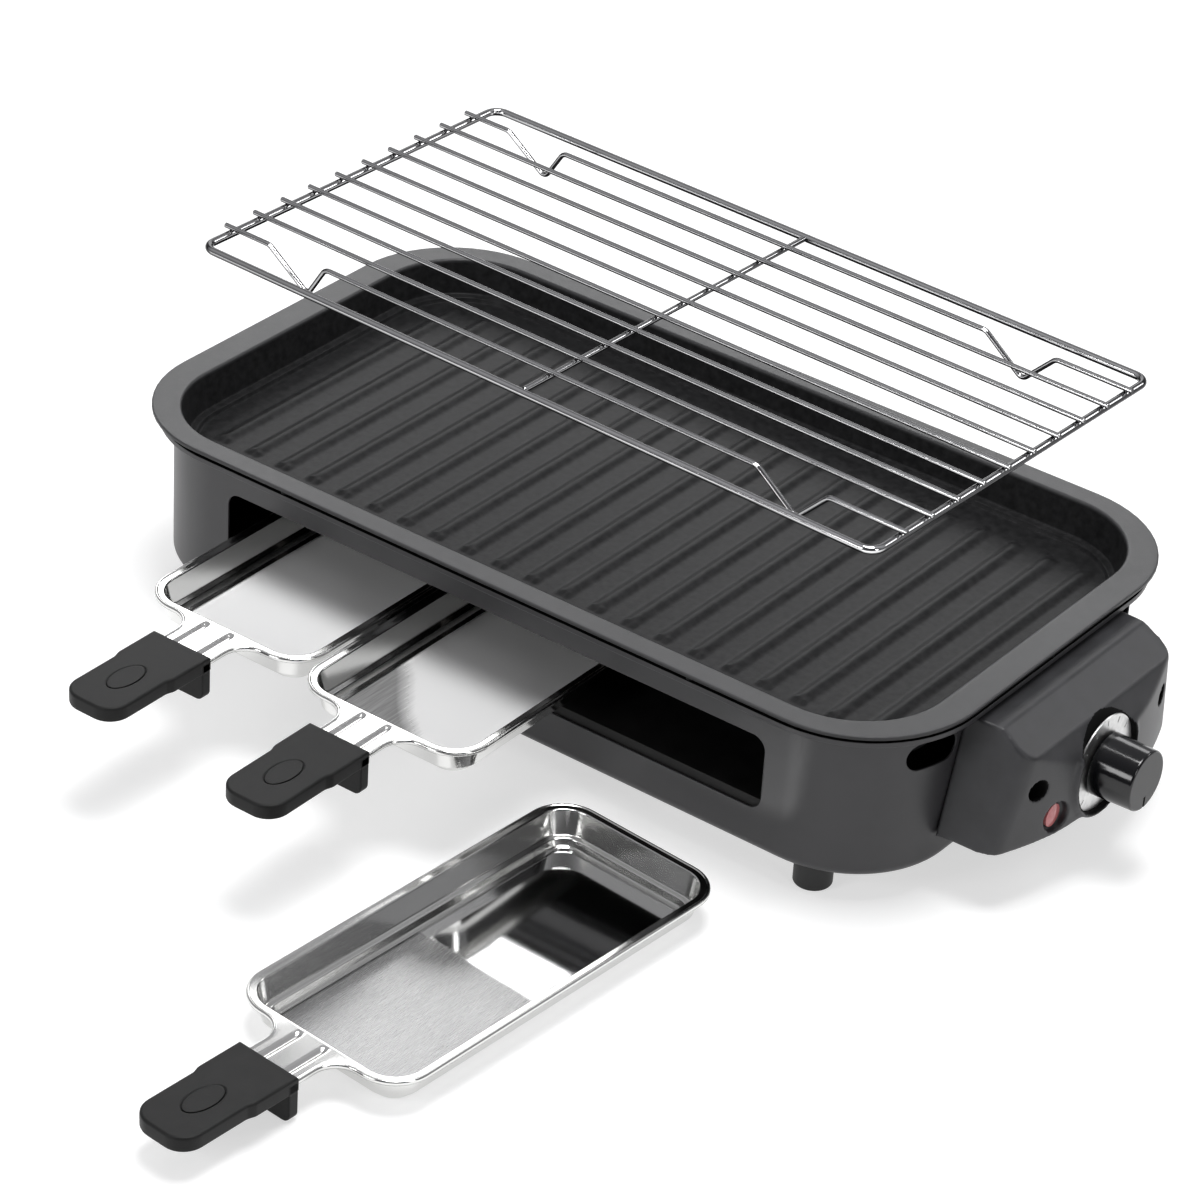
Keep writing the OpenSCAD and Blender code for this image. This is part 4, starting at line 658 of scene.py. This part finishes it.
def pan_floor_steel(name, way, edge, soft, dull, clear, metal):
    """Pan steel for a floor: dull and brushed up to a wandering edge, clear past it, with a tone given to
    each side that stands in for the light and shade on that pan.
    """
    wander_deep, streak, streak_gloss = 0.012, 0.45, 0.06
    dull_rough, dull_painted_tone = dull
    clear_rough, clear_painted_tone = clear
    made = pan_steel.copy()
    made.name = name
    tree = made.node_tree
    shader = tree.nodes["Principled BSDF"]
    shader.inputs["Metallic"].default_value = metal
    place = tree.nodes.new("ShaderNodeTexCoord")
    stretch = tree.nodes.new("ShaderNodeMapping")
    stretch.inputs["Scale"].default_value = (2400, 60, 60)
    lines = tree.nodes.new("ShaderNodeTexNoise")
    lines.inputs["Scale"].default_value = 1
    lines.inputs["Detail"].default_value = 2
    bump = tree.nodes.new("ShaderNodeBump")
    bump.inputs["Distance"].default_value = 0.000002
    wander = tree.nodes.new("ShaderNodeTexNoise")
    wander.inputs["Scale"].default_value = 14
    along = tree.nodes.new("ShaderNodeVectorMath")
    along.operation = "DOT_PRODUCT"
    along.inputs[1].default_value = way
    warped = tree.nodes.new("ShaderNodeMath")
    warped.operation = "MULTIPLY_ADD"
    warped.inputs[1].default_value = wander_deep
    finish_and_shade_edge = tree.nodes.new("ShaderNodeMapRange")
    finish_and_shade_edge.inputs["From Min"].default_value = edge - soft + wander_deep / 2
    finish_and_shade_edge.inputs["From Max"].default_value = edge + soft + wander_deep / 2
    span = tree.nodes.new("ShaderNodeMapRange")
    span.inputs["To Min"].default_value = dull_rough
    span.inputs["To Max"].default_value = clear_rough
    scratch = tree.nodes.new("ShaderNodeMath")
    scratch.operation = "MULTIPLY_ADD"
    scratch.inputs[1].default_value = streak
    # Painted light and shade: the tone steps across the same edge as the roughness.
    colour = tree.nodes.new("ShaderNodeMix")
    colour.data_type = "RGBA"
    colour.inputs["A"].default_value = (dull_painted_tone, dull_painted_tone, dull_painted_tone, 1)
    colour.inputs["B"].default_value = (clear_painted_tone, clear_painted_tone, clear_painted_tone, 1)
    gloss = tree.nodes.new("ShaderNodeMath")
    gloss.operation = "MULTIPLY_ADD"
    gloss.inputs[1].default_value = streak_gloss
    tree.links.new(place.outputs["Object"], stretch.inputs["Vector"])
    tree.links.new(stretch.outputs["Vector"], lines.inputs["Vector"])
    tree.links.new(lines.outputs["Fac"], bump.inputs["Height"])
    tree.links.new(bump.outputs["Normal"], shader.inputs["Normal"])
    tree.links.new(place.outputs["Object"], wander.inputs["Vector"])
    tree.links.new(place.outputs["Object"], along.inputs[0])
    tree.links.new(wander.outputs["Fac"], warped.inputs[0])
    tree.links.new(along.outputs["Value"], warped.inputs[2])
    tree.links.new(warped.outputs[0], finish_and_shade_edge.inputs["Value"])
    tree.links.new(lines.outputs["Fac"], gloss.inputs[0])
    tree.links.new(finish_and_shade_edge.outputs["Result"], span.inputs["Value"])
    tree.links.new(span.outputs["Result"], gloss.inputs[2])
    tree.links.new(gloss.outputs[0], shader.inputs["Roughness"])
    tree.links.new(lines.outputs["Fac"], scratch.inputs[0])
    tree.links.new(finish_and_shade_edge.outputs["Result"], scratch.inputs[2])
    tree.links.new(scratch.outputs[0], colour.inputs["Factor"])
    tree.links.new(colour.outputs["Result"], shader.inputs["Base Color"])
    return made


# Each floor has its dull and clear side as (roughness, tone), either side of its edge. The floors are copies
# of one steel with painted light: tone and metalness differ from pan to pan with the light on it, the middle
# pan's dark dull patch is a painted dark reflection, and the loose pan's darker dull part is painted shade
# over its brushed finish.
pan_floors = {
    "left": pan_floor_steel(
        "pan_floor_left", way=(0, 1, 0), edge=-0.3, soft=0.01, dull=(0.3, 0.4), clear=(0.30, 0.98), metal=0.2
    ),
    "middle": pan_floor_steel(
        "pan_floor_middle", way=(0.72, 0.69, 0), edge=-0.030, soft=0.006,
        dull=(0.2, 0.12), clear=(0.30, 0.98), metal=0.3,
    ),
    "loose": pan_floor_steel(
        "pan_floor_loose", way=(0.075, 1, 0), edge=-0.092, soft=0.0012,
        dull=(0.24, 0.34), clear=(0.045, 0.92), metal=1.0,
    ),
}
pan_wide, pan_long, pan_corner, pan_deep, pan_sheet = 0.101, 0.215, 0.020, 0.018, 0.0008
neck_half, neck_fillet, neck_long, tang_long, neck_lead = 0.0155, 0.012, 0.024, 0.004, 0.004
groove_side, groove_half, groove_deep, groove_end, groove_run_out = 0.0075, 0.0024, 0.0010, 0.0028, 0.003
groove_field, groove_reach, groove_back = 0.026, 0.005, 0.0005
pan_near = -pan_long / 2
pan_level = pan_deep - 0.0004

# Middle of each tray on the shelf or the table, and its turn in degrees.
pan_places = {
    "left": ((-0.12565, 0.069183, 0.0418), 0.0),
    "middle": ((-0.02215, 0.059183, 0.0418), 0.0),
    "loose": ((0.08275, -0.097317, 0.0), -4.3),
}


def closed_loop(bm, right, level):
    """Closed run of edges through the points of a right half and their mirror images."""
    points = right + [(-x, y) for x, y in reversed(right)]
    verts = [bm.verts.new((x, y, level)) for x, y in points]
    return [bm.edges.new((verts[i], verts[(i + 1) % len(verts)])) for i in range(len(verts))]


def pan_outline(bm, inset, level):
    """Loop of the pan's edge and neck, a distance inside the outline."""
    far = pan_near - neck_long - tang_long
    side, low, high = pan_wide / 2 - pan_corner, pan_near + pan_corner, pan_long / 2 - pan_corner
    right = (
        [(neck_half - inset, far), (neck_half - inset, pan_near - neck_fillet - neck_lead)]
        + arc((neck_half + neck_fillet, pan_near - neck_fillet), neck_fillet + inset, 180, 90, 8)
        + arc((side, low), pan_corner - inset, -90, 0, 12)
        + arc((side, high), pan_corner - inset, 0, 90, 12)
    )
    return closed_loop(bm, right, level)


def pan_tray():
    """One tray at its own middle: wall and floor, the neck's two grooves and the rolled edge."""
    bm = bmesh.new()
    wall = (
        arc((-0.0042, pan_level - 0.0009), 0.0009, 90, 173, 4)
        + arc((-0.0078, 0.0058), 0.0007, -7, -85, 3)
        + [(-0.0088, 0.0050)]
        + arc((-0.0093, 0.0042), 0.0007, 90, 165, 3)
        + [(-0.0110, 0.0018)]
        + arc((-0.0124, 0.0020), 0.0012, 200, 265, 3)
    )
    carried_round(bm, wall, pan_wide, pan_long, pan_corner, steps=12)
    bottom = min(v.co.z for v in bm.verts)
    low_ring = [e for e in bm.edges if e.is_boundary and all(v.co.z < bottom + same_place for v in e.verts)]
    floor = bmesh.ops.contextual_create(bm, geom=low_ring)["faces"][0]
    floor.material_index = 1
    top_ring = [e for e in bm.edges if e.is_boundary]
    groove = bmesh.ops.create_grid(bm, x_segments=52, y_segments=26, size=0.5)["verts"]
    bmesh.ops.scale(bm, verts=groove, vec=(groove_field, neck_long + groove_reach, 1))
    bmesh.ops.translate(bm, verts=groove, vec=(0, pan_near - neck_long / 2 + groove_back, pan_level))
    for vert in groove:
        away = abs(abs(vert.co.x) - groove_side)
        end = pan_near + groove_end - vert.co.y
        if away < groove_half:
            bowl = 0.5 + 0.5 * math.cos(math.pi * away / groove_half)
            vert.co.z -= groove_deep * bowl * smooth_rise(end / groove_run_out)
    groove_ring = [e for e in bm.edges if e.is_boundary and all(v in groove for v in e.verts)]
    for vert in {v for e in groove_ring for v in e.verts}:
        vert.co.z = pan_level
    roll = (
        (0.0, pan_deep - 0.0020),
        (0.0, pan_deep - 0.0009),
        (0.00015, pan_deep - 0.0004),
        (0.0005, pan_deep - 0.0001),
        (0.0009, pan_deep),
        (0.0013, pan_deep - 0.0001),
        (0.0016, pan_deep - 0.0003),
        (0.0019, pan_level),
    )
    loops = [pan_outline(bm, inset, level) for inset, level in roll]
    for below, above in zip(loops, loops[1:]):
        bmesh.ops.bridge_loops(bm, edges=below + above)
    open_edges = loops[-1] + top_ring + groove_ring
    bmesh.ops.triangle_fill(bm, use_beauty=True, use_dissolve=False, edges=open_edges, normal=(0, 0, 1))
    bmesh.ops.recalc_face_normals(bm, faces=bm.faces)
    if next(f for f in bm.faces if f.material_index == 1).normal.z < 0:
        bmesh.ops.reverse_faces(bm, faces=bm.faces)
    shaded(bm, sharp=50)
    return bm


def at_pan(bm, pan):
    """Moves a piece drawn at the pan's own middle to where that pan lies."""
    place, turn = pan_places[pan]
    bmesh.ops.rotate(bm, verts=bm.verts, cent=(0, 0, 0), matrix=Matrix.Rotation(math.radians(turn), 3, "Z"))
    bmesh.ops.translate(bm, verts=bm.verts, vec=place)


for pan in pan_places:
    tray = pan_tray()
    at_pan(tray, pan)
    skins = (pan_steel, pan_floors[pan])
    tray_piece = placed(f"pan_{pan}_steel", tray, f"pan_{pan}", skins, "pan_steel", f"pan_{pan}_tray")
    sheet = tray_piece.modifiers.new("sheet", "SOLIDIFY")
    sheet.thickness = pan_sheet
    sheet.offset = -1
    sheet.use_even_offset = False
    tray_piece.modifiers.move(1, 0)

# Handles: thick black plastic, moulded in one piece with a tab that stands down
# in front of the neck, and screwed to the tang from below.
handle_black = grained(
    "handle_black", (0.006, 0.006, 0.006), (0.013, 0.013, 0.013),
    rough=0.5, size=1800, depth=0.00003, mottle=90, edge=0.0009, sheen=0.22,
)
grip_gap, grip_long = 0.00015, 0.0655
grip_root, grip_front = pan_near - neck_long - grip_gap, pan_near - neck_long - grip_long
grip_top, grip_thick, grip_half, grip_slim, grip_corner = pan_deep + 0.004, 0.0075, 0.0175, 0.0162, 0.011
oval_place, oval_half_wide, oval_half_long, oval_deep = grip_root - 0.0382, 0.0065, 0.0118, 0.0003
tab_thick, tab_top, tab_corner, tab_edge = 0.0055, grip_top - 0.003, 0.004, 0.0006


def finish(node, made):
    """Gives a CAD node its material."""
    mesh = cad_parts[node].data
    mesh.materials.clear()
    mesh.materials.append(made)


def grip_outline(bm, inset, level):
    """Loop of the handle's plan, a distance inside its outline."""
    right = [
        (grip_half - inset, grip_root - inset),
        (grip_half - inset, grip_root - 0.0240),
        (grip_half - inset - 0.0002, grip_root - 0.0252),
        (grip_slim - inset + 0.0002, grip_root - 0.0278),
        (grip_slim - inset, grip_root - 0.0290),
    ]
    right += arc((grip_slim - grip_corner, grip_front + grip_corner), grip_corner - inset, 0, -90, 10)
    return closed_loop(bm, right, level)


def grip():
    """One handle at its pan's middle: a rounded slab with an oval groove, and the tab."""
    bm = bmesh.new()
    low = grip_top - grip_thick
    levels = (
        (0.0009, low),
        (0.0003, low + 0.0002),
        (0.0, low + 0.0009),
        (0.0, grip_top - 0.0013),
        (0.0001, grip_top - 0.0007),
        (0.0004, grip_top - 0.0003),
        (0.0009, grip_top - 0.00005),
        (0.0014, grip_top),
    )
    loops = [grip_outline(bm, inset, level) for inset, level in levels]
    for below, above in zip(loops, loops[1:]):
        bmesh.ops.bridge_loops(bm, edges=below + above)
    bmesh.ops.contextual_create(bm, geom=loops[0])
    rings = []
    for grow, level in ((0.0003, 0.0), (0.0, -oval_deep), (-0.0003, -oval_deep), (-0.0006, 0.0)):
        ring = bmesh.ops.create_circle(bm, segments=40, radius=1.0, cap_ends=False)["verts"]
        bmesh.ops.scale(bm, verts=ring, vec=(oval_half_wide + grow, oval_half_long + grow, 1))
        bmesh.ops.translate(bm, verts=ring, vec=(0, oval_place, grip_top + level))
        rings.append([e for e in bm.edges if all(v in ring for v in e.verts)])
    for outer, inner in zip(rings, rings[1:]):
        bmesh.ops.bridge_loops(bm, edges=outer + inner)
    bmesh.ops.contextual_create(bm, geom=rings[-1])
    open_edges = loops[-1] + rings[0]
    bmesh.ops.triangle_fill(bm, use_beauty=True, use_dissolve=False, edges=open_edges, normal=(0, 0, 1))
    tab = bmesh.ops.create_cube(bm, size=1)["verts"]
    bmesh.ops.scale(bm, verts=tab, vec=(2 * grip_half, tab_thick, tab_top))
    bmesh.ops.translate(bm, verts=tab, vec=(0, grip_root - tab_thick / 2, tab_top / 2))
    tab_ends = [
        e
        for e in {e for v in tab for e in v.link_edges}
        if all(v.co.z < tab_top / 2 for v in e.verts) and abs(e.verts[0].co.x - e.verts[1].co.x) < same_place
    ]
    bmesh.ops.bevel(
        bm, geom=tab_ends, offset=tab_corner, offset_type="OFFSET", segments=6, profile=0.5, affect="EDGES",
        material=-1,
    )
    tab_edges = [
        e
        for e in bm.edges
        if e.is_manifold
        and e.calc_face_angle() > math.radians(60)
        and all(v.co.z < low - tab_edge or abs(v.co.z - tab_top) < same_place for v in e.verts)
        and not all(abs(v.co.z - tab_top) < same_place for v in e.verts)
    ]
    bmesh.ops.bevel(
        bm, geom=tab_edges, offset=tab_edge, offset_type="OFFSET", segments=3, profile=0.5, affect="EDGES",
        material=-1, clamp_overlap=True,
    )
    bmesh.ops.recalc_face_normals(bm, faces=bm.faces)
    shaded(bm, sharp=45)
    return bm


for pan in pan_places:
    handle = grip()
    at_pan(handle, pan)
    placed(f"pan_{pan}_grip", handle, f"pan_{pan}", (handle_black,), "handle_plastic", f"pan_{pan}_handle")
    finish(f"pan_{pan}_screw", pan_steel)

# Control box: one thin plastic moulding with softly rounded edges, screwed to the
# end wall of the body over the thermostat, the lamp and the terminals.
box_grey = grained(
    "box_grey", (0.022, 0.022, 0.024), (0.038, 0.038, 0.042),
    rough=0.42, size=2200, depth=0.00002, mottle=70, edge=0.001,
)
# Painted shade: the same plastic made near black in the screw wells and the dial's mouth.
box_shade = grained(
    "box_shade", (0.003, 0.003, 0.003), (0.005, 0.005, 0.005),
    rough=0.7, size=2200, depth=0.00002, mottle=70, edge=0.0003, sheen=0.1,
)
voxel, smooth_passes, wall_band = 0.0008, 7, 0.0012
dial_mouth, lamp_mouth, screw_mouth, screw_well, screw_half = 0.0258, 0.0090, 0.0064, 0.0056, 0.0032
cover_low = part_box("control_cover")[0]
dial_low, dial_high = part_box("dial_plate")
knob_low, knob_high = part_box("knob")
knob_mid = (knob_low + knob_high) / 2
lens_low, lens_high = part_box("lamp_lens")
lens_mid = (lens_low + lens_high) / 2
screw_low, screw_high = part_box("cover_screws")
screw_mid = (screw_low + screw_high) / 2
screw_side = (screw_high.y - screw_low.y) / 2 - screw_half
screw_spots = [(screw_mid.y + side * screw_side, screw_mid.z) for side in (-1, 1)]
mouths = [(knob_mid.y, knob_mid.z, dial_mouth), (lens_mid.y, lens_mid.z, lamp_mouth)]
mouths += [(y, z, screw_mouth) for y, z in screw_spots]
wells = [(y, z, screw_well) for y, z in screw_spots]
wells += [(knob_mid.y, knob_mid.z, (dial_high.y - dial_low.y) / 2 + wall_band)]


def within(spot, rounds):
    """Whether a place lies over one of the round openings of the cover."""
    return any(math.hypot(spot.y - y, spot.z - z) < reach for y, z, reach in rounds)


# The CAD cover is remeshed evenly, and its edges are then smoothed away from the mouths.
box_bm = bmesh.new()
box_bm.from_mesh(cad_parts["control_cover"].data)
bmesh.ops.remove_doubles(box_bm, verts=box_bm.verts, dist=weld_reach)
box_mesh = bpy.data.meshes.new("control_cover_raw")
box_bm.to_mesh(box_mesh)
box_bm.free()
box_raw = bpy.data.objects.new("control_cover_raw", box_mesh)
bpy.context.scene.collection.objects.link(box_raw)
remesh = box_raw.modifiers.new("remesh", "REMESH")
remesh.mode = "VOXEL"
remesh.voxel_size = voxel
remesh.adaptivity = 0.0
bpy.context.view_layer.update()
box_even = box_raw.evaluated_get(bpy.context.evaluated_depsgraph_get())
box_bm = bmesh.new()
box_bm.from_mesh(box_even.to_mesh())
bpy.data.objects.remove(box_raw)
soft_verts = [v for v in box_bm.verts if v.co.x > cover_low.x + wall_band and not within(v.co, mouths)]
for number in range(smooth_passes):
    bmesh.ops.smooth_vert(
        box_bm, verts=soft_verts, factor=0.5, use_axis_x=True, use_axis_y=True, use_axis_z=True
    )
for vert in box_bm.verts:
    vert.co.x = max(vert.co.x, cover_low.x)
for face in box_bm.faces:
    face.smooth = True
    # Painted shade inside the screw wells and the dial's mouth.
    if within(face.calc_center_median(), wells):
        face.material_index = 1
placed("control_cover_skin", box_bm, "body", (box_grey, box_shade), "box_plastic", "control_cover")

# Knob: glossy black plastic, moulded with a notch for its pointer and a duller end,
# and pushed on to the thermostat's shaft.
knob_black = grained(
    "knob_black", (0.004, 0.004, 0.005), (0.008, 0.008, 0.009),
    rough=0.13, size=900, depth=0.000002, mottle=50,
)
# The end face: a rougher finish, and a lighter tone than the sides as painted light.
knob_end = grained(
    "knob_end", (0.012, 0.012, 0.013), (0.022, 0.022, 0.023),
    rough=0.30, size=900, depth=0.000004, mottle=50, sheen=0.26,
)
end_slack = 0.0004
knob_piece = faired("knob_gloss", "knob", "dial_knob", (knob_black, knob_end), "knob_plastic")
# The end face takes the lighter, painted-light copy.
for side in knob_piece.data.polygons:
    if side.normal.x > 0.95 and side.center.x > knob_high.x - end_slack:
        side.material_index = 1

# Dial: a thin silver plate with plain marks stamped in it, held in the mouth of
# the cover behind the knob.
dial_silver = grained(
    "dial_silver", (0.55, 0.55, 0.55), (0.75, 0.75, 0.74),
    rough=0.35, size=900, depth=0.00001, mottle=300, edge=0.0002, metal=1.0,
)
finish("dial_plate", dial_silver)

# Lamp: a clear red lens, moulded in plastic and pressed into the mouth of a short
# recess in the cover, with the lamp's body behind it.
lens_red = bpy.data.materials.new("lens_red")
lens_red.use_nodes = True
red = lens_red.node_tree
red_shader = red.nodes["Principled BSDF"]
red_shader.inputs["Roughness"].default_value = 0.12
red_tone = red.nodes.new("ShaderNodeTexNoise")
red_tone.inputs["Scale"].default_value = 300
red_mix = red.nodes.new("ShaderNodeMix")
red_mix.data_type = "RGBA"
red_mix.inputs["A"].default_value = (0.60, 0.13, 0.14, 1)
red_mix.inputs["B"].default_value = (0.82, 0.30, 0.30, 1)
red_place = red.nodes.new("ShaderNodeTexCoord")
red.links.new(red_place.outputs["Object"], red_tone.inputs["Vector"])
red.links.new(red_tone.outputs["Fac"], red_mix.inputs["Factor"])
red.links.new(red_mix.outputs["Result"], red_shader.inputs["Base Color"])
finish("lamp_lens", lens_red)

# Shelf: one steel sheet with turned-down edges, on which the pans slide, coloured near black as painted shade
# inside the body. Three rivets hold it to the body's back wall.
shelf_painted_shade = grained(
    "shelf_painted_shade", (0.006, 0.006, 0.006), (0.012, 0.012, 0.012),
    rough=0.5, size=1500, depth=0.00001, mottle=90, sheen=0.2,
)
finish("pan_shelf", shelf_painted_shade)

# Bottom plate, the element's supports and saddles, and the thermostat's bracket:
# plated steel sheet, pressed and bent, and screwed or welded in the body.
plated = grained(
    "plated", (0.25, 0.25, 0.25), (0.38, 0.38, 0.37),
    rough=0.42, size=900, depth=0.00001, mottle=45, edge=0.0003, metal=1.0,
)
finish("bottom_plate", plated)
finish("element_support_left", plated)
finish("element_support_right", plated)
finish("element_saddles", plated)
finish("thermostat_bracket", plated)

# Screws, nuts, rivets, the element's pins and the thermostat's shaft: turned or
# cold-formed steel with a bright coat of zinc.
zinc = grained(
    "zinc", (0.40, 0.40, 0.41), (0.56, 0.56, 0.55),
    rough=0.35, size=900, depth=0.000005, mottle=250, edge=0.0002, metal=1.0,
)
for node in ("bottom_screws", "foot_screws", "foot_nuts", "shelf_rivets", "cover_screws", "cover_nuts"):
    finish(node, zinc)
for node in ("bracket_screws", "terminal_screw", "element_pins", "thermostat_shaft", "thermostat_nut"):
    finish(node, zinc)

# Collars of the element, bodies of the thermostat and the lamp, and terminal block:
# cream ceramic, pressed and fired without a glaze.
ceramic = grained(
    "ceramic", (0.66, 0.63, 0.56), (0.78, 0.75, 0.68), rough=0.45, size=1200, depth=0.00001, mottle=90
)
for node in ("element_collars", "thermostat_body", "lamp_body", "terminal_block"):
    finish(node, ceramic)

# Heating element: one steel tube bent in runs under the plate, darkened by its own
# heat, and carried by saddles on two strips.
element_dark = grained(
    "element_dark", (0.07, 0.065, 0.06), (0.13, 0.12, 0.11),
    rough=0.5, size=1200, depth=0.00002, mottle=80, metal=0.6,
)
finish("heating_element", element_dark)

# Inner leads: wires in cream woven sleeves, from the terminals to the thermostat,
# the lamp and the element's pins.
sleeve = grained(
    "sleeve", (0.55, 0.52, 0.46), (0.68, 0.65, 0.6), rough=0.8, size=2500, depth=0.00006, mottle=400
)
finish("inner_leads", sleeve)

# Feet and the bush of the cord's inlet: black rubber, moulded. The feet are screwed
# on from below, and the bush is pressed into the cover.
rubber = grained(
    "rubber", (0.010, 0.010, 0.010), (0.018, 0.018, 0.018),
    rough=0.55, size=1500, depth=0.00002, mottle=90, edge=0.0006,
)
for node in ("foot_front_left", "foot_front_right", "foot_back_left", "foot_back_right", "cord_inlet_bush"):
    finish(node, rubber)
